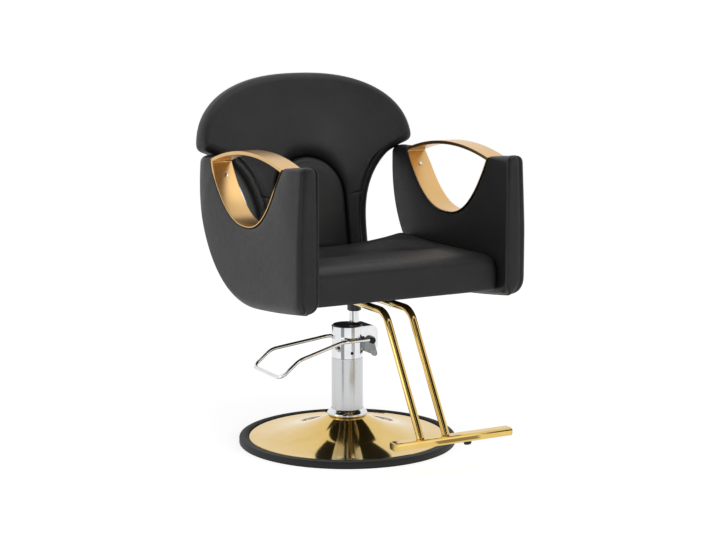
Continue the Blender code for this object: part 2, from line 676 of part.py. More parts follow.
yoke = cheek("pedal_yoke", cheek_in, cheek_out)
bar_rings = []
for y in (GAP - cheek_out, cheek_out - GAP):
    bar_rings.append([Vector((BRIDGE_AHEAD + p.x, y, p.y - BRIDGE_DROP))
                      for p in circle(BRIDGE_RADIUS, 0, TUBE_SIDES)])
cross_bar = guide(lofted("pedal_bridge", bar_rings, steel, pedal))
shape(yoke, "UNION", cross_bar, guide(cheek("pedal_cheek", -cheek_out, -cheek_in)))
drill("yoke_pin_hole", (0, -cheek_out - OVERRUN, 0), (0, cheek_out + OVERRUN, 0), PIN_RADIUS + GAP, pedal,
      [yoke])

rod_y = cheek_out + GAP + ROD_RADIUS
corners = [Vector((-ROD_START, rod_y, ROD_RISE)), Vector((-KNEE_REACH, rod_y, ROD_RISE)),
           Vector((-SHOULDER_REACH, LOOP_HALF_WIDTH, -SHOULDER_DROP)),
           Vector((-LOOP_REACH, LOOP_HALF_WIDTH, -LOOP_DROP))]
corners += [Vector((p.x, -p.y, p.z)) for p in reversed(corners)]
swept("pedal_loop", rounded_path(corners, LOOP_CORNER, LOOP_STEPS), ROD_RADIUS, chrome, pedal, ROD_SIDES)

pin_length = 2 * cheek_out + 2 * GAP + PIN_HEAD_HEIGHT
screw("pedal_pivot_pin", (pivot_out, -cheek_out - GAP, pivot_z), (0, 1, 0), pin_length, PIN_RADIUS,
      PIN_HEAD_RADIUS, PIN_HEAD_HEIGHT, chrome, column)
turned("pump_plunger", [(PLUNGER_RADIUS, plunger_low), (PLUNGER_RADIUS, plunger_top)], chrome, column,
       TUBE_SIDES, location=(plunger_out, 0, 0))

spring_low = plunger_top + GAP + SPRING_WIRE
spring_rise = SPRING_CHAMBER - 2 * GAP - 2 * SPRING_WIRE
coil = []
for k in range(SPRING_TURNS * SPRING_POINTS + 1):
    a = 2 * pi * k / SPRING_POINTS
    coil.append(Vector((plunger_out + SPRING_RADIUS * cos(a), SPRING_RADIUS * sin(a),
                        spring_low + spring_rise * k / (SPRING_TURNS * SPRING_POINTS))))
swept("plunger_spring", coil, SPRING_WIRE, steel, column, SPRING_SIDES)
print("spring: least gap between turns", round(spring_rise / SPRING_TURNS - 2 * SPRING_WIRE, 5), "m")

# Seat: socket, mounting plate, board with side rails, and cushion
socket_bottom = socket_low - seat_z
turned_ring("seat_socket", [
    (SPIGOT_RADIUS + GAP, socket_bottom), (SOCKET_RADIUS - SOCKET_EDGE, socket_bottom),
    (SOCKET_RADIUS, socket_bottom + SOCKET_EDGE), (SOCKET_RADIUS, -GAP), (SPIGOT_RADIUS + GAP, -GAP)],
    black_metal, swivel, RAM_SIDES)
mount_plate = box("mount_plate", (-PLATE_WIDTH / 2, PLATE_FRONT_Y, 0),
                  (PLATE_WIDTH / 2, PLATE_REAR_Y, MOUNT_PLATE_THICKNESS), black_metal, swivel)
saddle_top, saddle_low = -GAP, -GAP - SADDLE_THICKNESS
saddle_front = PLATE_FRONT_Y + SADDLE_SETBACK
saddle_rear = saddle_front + SADDLE_LENGTH
saddle_half = PLATE_WIDTH / 2 - SADDLE_INSET
saddle = box("footrest_saddle", (-saddle_half, saddle_front, saddle_low),
             (saddle_half, saddle_rear, saddle_top), black_metal, swivel)
arm_in = SEAT_HALF_WIDTH + ARM_CLEARANCE
rail_out = arm_in - GAP
rail_in = rail_out - RAIL_WIDTH
board_low = MOUNT_PLATE_THICKNESS + GAP
board_top = board_low + BOARD_THICKNESS
rail_top = board_top + RAIL_HEIGHT
board_rear = SEAT_REAR_Y - BOARD_REAR_INSET
seat_frame = box("seat_frame", (-rail_out, SEAT_FRONT_Y + BOARD_INSET, board_low),
                 (rail_out, board_rear, board_top), plywood, swivel)


def seat_bolt(name, x, y, under, plates):
    """A bolt from below through plates into the seat board."""
    head = Vector((x, y, under - GAP))
    tip = Vector((x, y, board_top - BOLT_SKIN))
    hex_bolt(name, head, (0, 0, 1), (tip - head).length, MOUNT_BOLT_RADIUS, swivel)
    drill(name + "_hole", head, tip + Vector((0, 0, GAP)), MOUNT_BOLT_RADIUS + GAP, swivel,
          plates + [seat_frame])


bolt_x = PLATE_WIDTH / 2 - MOUNT_BOLT_MARGIN
front_stack = ((saddle_front + saddle_rear) / 2, saddle_low, [saddle, mount_plate])
rear_stack = (PLATE_REAR_Y - MOUNT_BOLT_MARGIN, 0.0, [mount_plate])
for row, (y, under, plates) in enumerate((front_stack, rear_stack)):
    for k, x in enumerate((-bolt_x, bolt_x), 1):
        seat_bolt(f"mount_bolt_{2 * row + k}", x, y, under, plates)

seat_low = board_top + GAP
seat_depth = SEAT_REAR_Y - SEAT_FRONT_Y


def seat_half_width(share):
    """Half width along the depth, round at the corners and drawn in between."""
    corner = max(0.0, SEAT_CORNER - min(share, 1 - share) * seat_depth)
    round_off = SEAT_CORNER - (SEAT_CORNER ** 2 - corner ** 2) ** 0.5
    return SEAT_HALF_WIDTH - SEAT_PULL_IN * sin(pi * share) - round_off


seat_shares = [0, 0.4 * SEAT_CORNER / seat_depth, SEAT_CORNER / seat_depth]
seat_shares += [k / SEAT_ROWS for k in range(1, SEAT_ROWS)]
seat_shares += [1 - share for share in reversed(seat_shares[:3])]
seat_rows = []
for share in seat_shares:
    half = seat_half_width(share)
    y = SEAT_FRONT_Y + seat_depth * share
    seat_rows.append([(half * (2 * j / SEAT_COLUMNS - 1), y) for j in range(SEAT_COLUMNS + 1)])


def seat_swell(along, across, spot):
    """Crown over the whole top, hollow behind the front roll."""
    depth_share = (spot.y - SEAT_FRONT_Y) / seat_depth
    from_front = max(0.0, depth_share - SEAT_ROLL_INSET / seat_depth)
    width_share = 2 * across - 1
    dish = SEAT_DISH * sin(pi * from_front) * (1 - width_share ** 2)
    ends = min(1, 8 * depth_share, 8 * (1 - depth_share))
    return SEAT_CROWN * (1 - width_share ** 4) * ends - dish


def on_seat(p, height):
    """Lets the cushion sag towards the middle of its rear edge."""
    share = (p.y - SEAT_FRONT_Y) / seat_depth
    sag = SEAT_SAG * (1 - (p.x / SEAT_HALF_WIDTH) ** 2) * share ** 2 * (3 - 2 * share)
    return Vector((p.x, p.y, height - sag * (height - seat_low) / (SEAT_SIDE_HEIGHT + SEAT_ROLL)))


seat_side_top = seat_low + SEAT_SIDE_HEIGHT
seat_levels = [(SEAT_BOTTOM_EDGE, seat_low), (0, seat_low + SEAT_BOTTOM_EDGE), (0, seat_side_top),
               (0.25 * SEAT_ROLL_INSET, seat_side_top + 0.65 * SEAT_ROLL),
               (SEAT_ROLL_INSET, seat_side_top + SEAT_ROLL)]
seat_cushion = slab("seat_cushion", seat_rows, seat_levels, seat_swell, on_seat, leather, swivel)

sides = (("left", 1), ("right", -1))
for side, sign in sides:
    inner, outer = sorted((sign * rail_in, sign * rail_out))
    side_rail = box("seat_rail_" + side, (inner, RAIL_FRONT_Y, (board_low + board_top) / 2),
                    (outer, RAIL_REAR_Y, rail_top), plywood, swivel)
    shape(seat_frame, "UNION", guide(side_rail))
    inner, outer = sorted((sign * (rail_in - BOLT_ROOM), sign * (rail_out + OVERRUN)))
    room = box("rail_room_" + side, (inner, RAIL_FRONT_Y - GAP, board_low),
               (outer, RAIL_REAR_Y + GAP, rail_top + GAP), plywood, swivel)
    cut(seat_cushion, guide(room))

# Arms: pad round a plywood core, open at the cut where the gold rail is screwed on
core_in = arm_in + CORE_DEPTH
core_out = core_in + CORE_THICKNESS
cut_rear = Vector((ARM_REAR_Y - HORN_DEPTH, ARM_HORN_Z + CUT_REAR_RISE))
cut_front = Vector((ARM_FRONT_Y + FRONT_DEPTH, ARM_FRONT_TOP_Z - CUT_FRONT_DROP))


def cut_point(share):
    """The cut's edge as (y, z) from its rear tip at 0 to its front tip at 1."""
    middle = (cut_rear.x + cut_front.x) / 2
    y = middle + (cut_rear.x - middle) * cos(pi * share)
    tip = cut_front if y < CUT_LOW_Y else cut_rear
    rise = ((y - CUT_LOW_Y) / (tip.x - CUT_LOW_Y)) ** CUT_POWER
    return Vector((y, CUT_LOW_Z + (tip.y - CUT_LOW_Z) * rise))


def cut_normal(share):
    """Points from the cut's edge into the opening."""
    run = cut_point(min(share + 0.01, 1)) - cut_point(max(share - 0.01, 0))
    return Vector((run.y, -run.x)).normalized()


def arm_outline():
    """Outer outline of the arm as (y, z) points from the rear horn round under the seat to the front."""
    points = [(ARM_REAR_Y, ARM_HORN_Z - ARM_END_ROUND)]
    for k in range(ARM_SWEEP_STEPS + 1):
        a = k / ARM_SWEEP_STEPS * pi / 2
        points.append((ARM_LOW_Y + (ARM_REAR_Y - ARM_LOW_Y) * cos(a) ** (2 / ARM_SWEEP),
                       ARM_SHOULDER_Z - (ARM_SHOULDER_Z - ARM_LOW_Z) * sin(a) ** (2 / ARM_SWEEP)))
    corner_y = ARM_FRONT_Y + ARM_FRONT_CORNER
    for share in (1 / 3, 2 / 3):
        points.append((ARM_LOW_Y + (corner_y - ARM_LOW_Y) * share,
                       ARM_LOW_Z + (ARM_FRONT_LOW_Z - ARM_LOW_Z) * share ** 1.3))
    for k in range(5):
        a = k / 4 * pi / 2
        points.append((corner_y - ARM_FRONT_CORNER * sin(a),
                       ARM_FRONT_LOW_Z + ARM_FRONT_CORNER * (1 - cos(a))))
    post_low = ARM_FRONT_LOW_Z + ARM_FRONT_CORNER
    post_end = ARM_FRONT_TOP_Z - ARM_END_ROUND
    for k in range(1, 6):
        points.append((ARM_FRONT_Y, post_low + (post_end - post_low) * k / 5))
    return [Vector(p) for p in points]


arm_outer = arm_outline()
lengths = [0.0]
for first, second in zip(arm_outer, arm_outer[1:]):
    lengths.append(lengths[-1] + (second - first).length)
station_shares = [length / lengths[-1] for length in lengths]
arm_stations = []
for k, (outer, share) in enumerate(zip(arm_outer, station_shares)):
    run = arm_outer[min(k + 1, len(arm_outer) - 1)] - arm_outer[max(k - 1, 0)]
    downward = max(0.0, -run.normalized().x)
    arm_stations.append((outer, cut_point(share), downward))


def arm_face(z):
    """Outer face of the arm from the middle of the chair, leaning in towards the top."""
    middle = (ARM_LOW_Z + ARM_FRONT_TOP_Z) / 2
    lean = ARM_TOP_LEAN * max(0.0, (z - middle) / (ARM_FRONT_TOP_Z - middle))
    return arm_in + ARM_THICKNESS - lean


def arm_ring(outer, inner, downward):
    """Section of the pad between the cut and the outline as ((y, z), x) points."""
    width = (outer - inner).length
    along = (outer - inner).normalized()
    face = arm_face(outer.y)
    room = face - arm_in
    big = min(ARM_EDGE_ROUND + (ARM_BOTTOM_ROUND - ARM_EDGE_ROUND) * downward, 0.75 * room, 0.45 * width)
    small = min(ARM_INNER_ROUND, 0.2 * room)
    points = [(0, arm_in + ARM_LIP), (0, face - ARM_LIP), (ARM_LIP, face)]
    points += [(share * (width - big), face + ARM_CROWN) for share in (0.35, 0.75)]
    for k in range(5):
        a = k / 4 * pi / 2
        points.append((width - big + big * sin(a), face - big + big * cos(a)))
    for k in range(3):
        a = k / 2 * pi / 2
        points.append((width - small + small * cos(a), arm_in + small - small * sin(a)))
    points += [(0.5 * width, arm_in), (ARM_LIP, arm_in)]
    return [(inner + along * a, x) for a, x in points]


def closing_rings(ring):
    """Two rings that round off an upper end of the pad, drawn in all round and lower beside the cut."""
    middle = sum((p for p, x in ring), Vector((0, 0))) / len(ring)
    middle_x = sum(x for p, x in ring) / len(ring)
    reach = max((p - middle).length for p, x in ring)
    reach_x = max(abs(x - middle_x) for p, x in ring)
    tip = ring[0][0]
    from_tip = max((p - tip).length for p, x in ring)
    rings = []
    for a in (pi / 4, pi / 2):
        inset = ARM_END_ROUND * (1 - cos(a))
        closing = []
        for p, x in ring:
            lift = ARM_TIP_RISE + (1 - ARM_TIP_RISE) * (p - tip).length / from_tip
            closing.append((middle + (p - middle) * (1 - inset / reach) + up * ARM_END_ROUND * sin(a) * lift,
                            middle_x + (x - middle_x) * (1 - inset / reach_x)))
        rings.append(closing)
    return rings


up = Vector((0, 1))
pad_rings = [arm_ring(*station) for station in arm_stations]
pad_rings = closing_rings(pad_rings[0])[::-1] + pad_rings + closing_rings(pad_rings[-1])


def core_rings(grow, lip):
    """Sections of the plywood core from lip behind the cut; grow widens it into the pocket it sits in."""
    rings = []
    inside = arm_stations[2:-2]
    halfway = [((a + b) / 2, (c + d) / 2) for (a, c, _), (b, d, _) in zip(inside, inside[1:])]
    for k, (outer, inner) in enumerate(halfway):
        along = (outer - inner).normalized()
        shift = up * grow if k in (0, len(halfway) - 1) else Vector((0, 0))
        start = inner + along * lip + shift
        end = outer - along * (CORE_MARGIN - grow) + shift
        rings.append([(start, core_in - grow), (end, core_in - grow), (end, core_out + grow),
                      (start, core_out + grow)])
    return rings


# Gold rail: sheet lining the cut and an arch over it, one closed loop
def arch_top(y):
    share = (y - cut_front.x) / (cut_rear.x - cut_front.x)
    return cut_front.y + (cut_rear.y - cut_front.y) * share + ARCH_RISE * 4 * share * (1 - share)


def lining(share, depth):
    return cut_point(share) + cut_normal(share) * depth


def lining_end(low, high):
    """Share along the cut at which the lining's inside meets the arch's underside."""
    for _ in range(40):
        middle = (low + high) / 2
        spot = lining(middle, GAP + GOLD_SHEET)
        if spot.y > arch_top(spot.x) - ARCH_THICKNESS:
            low = middle
        else:
            high = middle
    return high


first_share = lining_end(0.0, 0.4)
last_share = lining_end(1.0, 0.6)
inner_shares = [first_share + (last_share - first_share) * share for share in station_shares]
loop_out = [lining(share, GAP) for share in station_shares]
loop_in = [lining(share, GAP + GOLD_SHEET) for share in inner_shares]
for loop, drop in ((loop_out, 0.0), (loop_in, ARCH_THICKNESS)):
    start, end = loop[-1].x, loop[0].x
    for k in range(1, ARCH_STEPS):
        y = start + (end - start) * k / ARCH_STEPS
        loop.append(Vector((y, arch_top(y) - drop)))
gold_in = arm_in + GOLD_SETBACK
gold_edges = [arm_face(outer.y) - GOLD_SETBACK for outer in arm_outer]
front_edge, rear_edge = gold_edges[-1], gold_edges[0]
gold_edges += [front_edge + (rear_edge - front_edge) * k / ARCH_STEPS for k in range(1, ARCH_STEPS)]
gold_rings = [[(a, gold_in), (a, edge), (b, edge), (b, gold_in)]
              for a, b, edge in zip(loop_out, loop_in, gold_edges)]

for side, sign in sides:
    def in_space(point, x):
        return Vector((sign * x, point.x, point.y))

    def arm_loft(name, rings, material, loop=False):
        placed = [[in_space(p, x) for p, x in ring] for ring in rings]
        return lofted(f"{name}_{side}", placed, material, swivel, loop)

    pad = arm_loft("arm_pad", pad_rings, leather)
    core = arm_loft("arm_core", core_rings(0, CORE_LIP), plywood)
    cut(pad, guide(arm_loft("core_pocket", core_rings(GAP, -CORE_MARGIN), plywood)))
    rail = arm_loft("arm_rail", gold_rings, satin_gold, loop=True)
    outward = Vector((sign, 0, 0))
    for k, y in enumerate(ARM_BOLTS_Y, 1):
        head = Vector((sign * (rail_in - GAP), y, board_top + ARM_BOLT_RISE))
        reach = core_out - CORE_SKIN - rail_in
        hex_bolt(f"arm_bolt_{side}_{k}", head, outward, reach, ARM_BOLT_RADIUS, swivel)
        drill(f"arm_bolt_hole_{side}_{k}", head - outward * GAP, head + outward * (reach + GAP),
              ARM_BOLT_RADIUS + GAP, swivel, [seat_frame, pad, core])
    screw_x = core_in + CORE_THICKNESS / 2
    for end, share in (("rear", RAIL_SCREW_SHARE), ("front", 1 - RAIL_SCREW_SHARE)):
        inward = in_space(cut_normal(share), 0)
        head = in_space(lining(share, 2 * GAP + GOLD_SHEET), screw_x)
        screw(f"rail_screw_{side}_{end}", head, -inward, RAIL_SCREW_LENGTH, RAIL_SCREW_RADIUS,
              RAIL_SCREW_HEAD, RAIL_SCREW_PROUD, chrome, swivel)
        drill(f"rail_screw_hole_{side}_{end}", head + inward * OVERRUN,
              head - inward * (RAIL_SCREW_LENGTH + GAP), RAIL_SCREW_RADIUS + GAP, swivel, [rail, core])

# Back: panel with a mushroom outline, lumbar pad in its arch, moulded board inside, two brackets
half_back = BACK_THICKNESS / 2
back_foot_y = SEAT_REAR_Y + BACK_CLEARANCE + half_back
head_low_z = ARM_HORN_Z + HEAD_CLEARANCE
neck_z = head_low_z - NECK_RISE
neck_half = arm_in - NECK_INSET
head_half = arm_in + HEAD_OVERHANG


def on_back(p, forward):
    """Puts a point of the outline, and a distance ahead of the panel's middle, on the leaning hollow back."""
    y = back_foot_y + (p.y - BACK_FOOT_Z) * tan(BACK_LEAN) - p.x ** 2 / (2 * BACK_PLAN_RADIUS)
    return Vector((p.x, y - forward * cos(BACK_LEAN), p.y + forward * sin(BACK_LEAN)))


def back_half_width(z):
    if z >= head_low_z:
        rise = (z - head_low_z) / HEAD_TALL
        corner = max(0.0, 1 - (z - head_low_z) / HEAD_CORNER)
        round_off = HEAD_CORNER * (1 - (1 - corner ** 2) ** 0.5)
        return head_half * (1 - rise ** HEAD_SQUARE) ** (1 / HEAD_SQUARE) - round_off
    if z >= neck_z:
        return neck_half + (head_half - HEAD_CORNER - neck_half) * (z - neck_z) / NECK_RISE
    if z >= STEM_TOP_Z:
        share = (z - STEM_TOP_Z) / (neck_z - STEM_TOP_Z)
        return neck_half - (neck_half - STEM_HALF_WIDTH) * (1 - share ** FLARE_START) ** (1 / FLARE_END)
    return STEM_HALF_WIDTH


heights = [BACK_FOOT_Z + (STEM_TOP_Z - BACK_FOOT_Z) * k / STEM_ROWS for k in range(STEM_ROWS)]
heights += [STEM_TOP_Z + (neck_z - STEM_TOP_Z) * (1 - (1 - k / NECK_ROWS) ** 1.7) for k in range(NECK_ROWS)]
heights += [neck_z, head_low_z] + [head_low_z + HEAD_CORNER * share for share in (0.1, 0.35, 1)]
heights += [head_low_z + HEAD_TALL * sin(pi / 2 * k / HEAD_ROWS) for k in range(2, HEAD_ROWS)]
heights.append(head_low_z + 0.997 * HEAD_TALL)
back_rows = []
for z in heights:
    half = back_half_width(z)
    back_rows.append([(half * (2 * j / BACK_COLUMNS - 1), z) for j in range(BACK_COLUMNS + 1)])


def back_swell(along, across, spot):
    return BACK_CROWN * (1 - (2 * across - 1) ** 2) * min(1, 5 * (1 - along), 5 * along)


def lumbar_swell(along, across, spot):
    return LUMBAR_CROWN * (1 - (2 * across - 1) ** 2) * min(1, 4 * (1 - along))


edge_step = 0.3 * BACK_EDGE_ROUND
back_levels = [(BACK_EDGE_ROUND, -half_back), (edge_step, edge_step - half_back),
               (0, BACK_EDGE_ROUND - half_back), (0, half_back - BACK_EDGE_ROUND),
               (edge_step, half_back - edge_step), (BACK_EDGE_ROUND, half_back)]
back_panel = slab("back_panel", back_rows, back_levels, back_swell, on_back, leather, swivel)


def arch_rows(half_width, low_z):
    """Plan rows of an arch with a round top."""
    levels = [low_z + (LUMBAR_SPRING_Z - low_z) * k / 4 for k in range(4)]
    levels += [LUMBAR_SPRING_Z + half_width * sin(pi / 2 * k / 7) for k in range(7)]
    levels.append(LUMBAR_SPRING_Z + half_width * 0.997)
    rows = []
    for z in levels:
        half = (half_width ** 2 - max(0.0, z - LUMBAR_SPRING_Z) ** 2) ** 0.5
        rows.append([(half * (2 * j / LUMBAR_COLUMNS - 1), z) for j in range(LUMBAR_COLUMNS + 1)])
    return rows


board_back = BACK_BOARD_SKIN - half_back
board_front = board_back + BACK_BOARD_THICKNESS
arch_floor = board_front + LUMBAR_BACKING
notch_rows = arch_rows(LUMBAR_HALF_WIDTH + LUMBAR_CREASE, BACK_FOOT_Z - OVERRUN)
notch_levels = [(0, arch_floor), (0, half_back + BACK_CROWN + OVERRUN)]
notch = slab("lumbar_notch", notch_rows, notch_levels, None, on_back, leather, swivel)
cut(back_panel, guide(notch))
lumbar_step = 0.3 * LUMBAR_EDGE
lumbar_levels = [(lumbar_step, arch_floor + GAP), (0, arch_floor + GAP + lumbar_step),
                 (0, half_back - LUMBAR_EDGE), (lumbar_step, half_back - lumbar_step),
                 (LUMBAR_EDGE, half_back)]
slab("lumbar_pad", arch_rows(LUMBAR_HALF_WIDTH, BACK_FOOT_Z + LUMBAR_CREASE), lumbar_levels, lumbar_swell,
     on_back, leather, swivel)


def board_slab(name, grow, low_z):
    """The moulded board, or the pocket that it sits in when it is grown."""
    top_z, half = BACK_BOARD_TOP_Z + grow, BACK_BOARD_HALF_WIDTH + grow
    rows = []
    for k in range(BACK_BOARD_ROWS + 1):
        z = low_z + (top_z - low_z) * k / BACK_BOARD_ROWS
        rows.append([(half * s, z) for s in (-1, 0, 1)])
    return slab(name, rows, [(0, board_back - grow), (0, board_front + grow)], None, on_back, plywood, swivel)


back_board = board_slab("back_board", 0, BACK_FOOT_Z + GAP)
cut(back_panel, guide(board_slab("back_pocket", GAP, BACK_FOOT_Z - OVERRUN)))

bracket_top = board_low - GAP
bracket_low = bracket_top - BRACKET_THICKNESS
bracket_front = -half_back - GAP
bracket_rear = bracket_front - BRACKET_THICKNESS
bracket_bolt_y = board_rear - BRACKET_BOLT_SETBACK
back_bolt_z = BRACKET_TOP_Z - BRACKET_BOLT_DROP
bracket_x = BRACKET_X - BRACKET_WIDTH / 2   # its inner edge touches the hollow panel
upright = []
for z in (BACK_FOOT_Z, BRACKET_TOP_Z):
    p = Vector((bracket_x, z))
    upright.append((on_back(p, bracket_front), on_back(p, bracket_rear)))
tail_y = bracket_bolt_y - BRACKET_TAIL
bracket_section = [(tail_y, bracket_low), (tail_y, bracket_top), (upright[0][0].y, bracket_top)]
bracket_section += [(front.y, front.z) for front, rear in upright]
bracket_section += [(rear.y, rear.z) for front, rear in reversed(upright)]
bracket_section.append((upright[0][1].y, bracket_low))
ahead = Vector((0, -cos(BACK_LEAN), sin(BACK_LEAN)))
for side, sign in sides:
    middle = sign * BRACKET_X
    bracket_edges = (middle - BRACKET_WIDTH / 2, middle + BRACKET_WIDTH / 2)
    bracket = lofted("back_bracket_" + side, [[Vector((x, y, z)) for y, z in bracket_section]
                                              for x in bracket_edges], black_metal, swivel)
    seat_bolt("bracket_seat_bolt_" + side, middle, bracket_bolt_y, bracket_low, [bracket])
    head = on_back(Vector((bracket_x, back_bolt_z)), bracket_rear - GAP)
    head.x = middle
    length = BRACKET_THICKNESS + 2 * GAP + BACK_BOARD_SKIN + BACK_BOARD_THICKNESS - BOLT_SKIN
    hex_bolt("bracket_back_bolt_" + side, head, ahead, length, BRACKET_BOLT_RADIUS, swivel)
    drill("bracket_back_hole_" + side, head - ahead * OVERRUN, head + ahead * (length + GAP),
          BRACKET_BOLT_RADIUS + GAP, swivel, [bracket, back_panel, back_board])

# Footrest: two bent posts under the saddle and a capped bar
post_z = saddle_low - GAP - POST_RADIUS
bar_top = -FOOTREST_DROP
foot_y = POST_KNEE_Y - (post_z - bar_top) * tan(POST_SLOPE)
for side, sign in sides:
    x = sign * POST_X
    path = rounded_path([Vector((x, saddle_rear - POST_SHORT, post_z)), Vector((x, POST_KNEE_Y, post_z)),
                         Vector((x, foot_y, bar_top))], POST_BEND_RADIUS, POST_BEND_STEPS)
    swept("footrest_post_" + side, path, POST_RADIUS, gold, swivel, TUBE_SIDES, bore=POST_RADIUS - POST_WALL,
          end_z=bar_top + GAP)

bar_z = bar_top - BAR_HEIGHT / 2
bar_half = BAR_LENGTH / 2 - CAP_LIP - GAP
plug_shrink = 2 * BAR_WALL + 2 * GAP
outer_section = rounded_section(BAR_DEPTH, BAR_HEIGHT, BAR_EDGE)
inner_section = rounded_section(BAR_DEPTH - 2 * BAR_WALL, BAR_HEIGHT - 2 * BAR_WALL, BAR_EDGE - BAR_WALL)
plug_section = rounded_section(BAR_DEPTH - plug_shrink, BAR_HEIGHT - plug_shrink, BAR_EDGE - BAR_WALL)
lip_section = rounded_section(BAR_DEPTH - CAP_LIP, BAR_HEIGHT - CAP_LIP, BAR_EDGE - CAP_LIP / 2)


def bar_ring(section, x):
    return [Vector((BAR_OFFSET + x, foot_y + y, bar_z + z)) for y, z in section]


lofted("footrest_bar", [bar_ring(outer_section, -bar_half), bar_ring(outer_section, bar_half),
                        bar_ring(inner_section, bar_half), bar_ring(inner_section, -bar_half)],
       gold, swivel, loop=True)
for side, sign in sides:
    lip = bar_half + GAP
    lofted("footrest_cap_" + side, [
        bar_ring(plug_section, sign * (lip - CAP_PLUG)), bar_ring(plug_section, sign * lip),
        bar_ring(outer_section, sign * lip), bar_ring(outer_section, sign * (lip + CAP_LIP / 2)),
        bar_ring(lip_section, sign * (lip + CAP_LIP))], gold, swivel)

# The chair's origin lies on the floor under the middle of its box
front_reach = foot_y - BAR_DEPTH / 2
rear_reach = max(vert.co.y for vert in back_panel.data.vertices)
chair.location.y = -(front_reach + rear_reach) / 2
print("swivel axis at y", round(chair.location.y, 5), "seat at z", round(seat_z, 4), "pedal pivot at x",
      round(pivot_out - ram_offset, 4), "z", round(pivot_z, 4))
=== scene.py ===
import json
from math import cos, exp, pi, radians, sin, tan

import bmesh
import bpy
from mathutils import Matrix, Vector, noise


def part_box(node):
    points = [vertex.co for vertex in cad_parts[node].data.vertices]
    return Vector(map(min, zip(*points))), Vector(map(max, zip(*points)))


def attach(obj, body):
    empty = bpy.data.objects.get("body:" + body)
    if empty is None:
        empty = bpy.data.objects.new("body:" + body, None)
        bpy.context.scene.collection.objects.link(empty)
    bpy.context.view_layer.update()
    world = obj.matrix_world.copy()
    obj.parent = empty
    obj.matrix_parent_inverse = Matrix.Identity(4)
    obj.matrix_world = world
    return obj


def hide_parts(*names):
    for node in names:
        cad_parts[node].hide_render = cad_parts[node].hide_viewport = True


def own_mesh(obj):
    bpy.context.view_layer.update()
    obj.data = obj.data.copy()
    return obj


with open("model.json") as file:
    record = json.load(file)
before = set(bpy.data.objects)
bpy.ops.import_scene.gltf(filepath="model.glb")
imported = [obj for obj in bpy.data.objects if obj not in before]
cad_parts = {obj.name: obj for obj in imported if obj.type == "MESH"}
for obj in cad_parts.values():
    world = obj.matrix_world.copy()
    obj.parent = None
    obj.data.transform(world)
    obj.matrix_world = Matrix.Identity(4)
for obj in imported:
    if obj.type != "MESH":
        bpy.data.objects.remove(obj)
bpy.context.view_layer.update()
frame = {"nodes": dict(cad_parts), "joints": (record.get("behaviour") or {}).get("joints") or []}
mm = 0.001
rampStops = (0.3, 0.7)                          # where a drifting colour starts and ends
nodes = frame["nodes"]
swivelJoint = next(joint for joint in frame["joints"] if joint["name"] == "swivel")
chairY = swivelJoint["pos_m"][1]                # the seat turns about this line
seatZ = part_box("mount_plate")[0].z              # seat, arms and back are measured up from here
columnX = sum(v.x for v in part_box("column_sleeve")) / 2
print("frame loaded,", len(nodes), "nodes, swivel line at y", round(chairY, 4))


def spot(x, y, z):                              # from swivel line and mounting plate to the part's frame
    return Vector((x, y + chairY, z + seatZ))


# materials

def linear(hexColour):                          # sRGB hex to the linear colour that the shader takes
    channels = [int(hexColour[k:k + 2], 16) / 255 for k in (1, 3, 5)]
    return [c / 12.92 if c <= 0.04045 else ((c + 0.055) / 1.055) ** 2.4 for c in channels] + [1.0]


def addNode(tree, kind, values=None, links=None, **settings):
    node = tree.nodes.new(kind)
    for key, value in settings.items():
        setattr(node, key, value)
    for key, value in (values or {}).items():
        node.inputs[key].default_value = value
    for key, source in (links or {}).items():
        tree.links.new(source, node.inputs[key])
    return node


def startMaterial(name, **values):
    material = bpy.data.materials.new(name)
    material.use_nodes = True
    tree = material.node_tree
    shader = tree.nodes["Principled BSDF"]
    for key, value in values.items():
        shader.inputs[key.replace("_", " ")].default_value = value
    place = addNode(tree, "ShaderNodeTexCoord").outputs["Object"]
    return material, tree, shader, place


def tint(tree, shader, factor, dark, light):    # colour that drifts between two tones
    ramp = addNode(tree, "ShaderNodeValToRGB", links={"Fac": factor})
    for stop, position, hexColour in zip(ramp.color_ramp.elements, rampStops, (dark, light)):
        stop.position = position
        stop.color = linear(hexColour)
    tree.links.new(ramp.outputs["Color"], shader.inputs["Base Color"])


def gloss(tree, shader, factor, low, high):     # roughness that drifts between two values
    spread = addNode(tree, "ShaderNodeMapRange", {"To Min": low, "To Max": high}, {"Value": factor})
    tree.links.new(spread.outputs["Result"], shader.inputs["Roughness"])


def relief(tree, shader, height, depth, strength):   # depth in metres
    bump = addNode(tree, "ShaderNodeBump", {"Strength": strength, "Distance": depth}, {"Height": height})
    tree.links.new(bump.outputs["Normal"], shader.inputs["Normal"])


leatherLook = {"dark": "#1d1d1e", "light": "#242425", "pebble": 2.6 * mm, "crease": 22 * mm,
               "mottle": 90 * mm, "relief": 0.45 * mm}


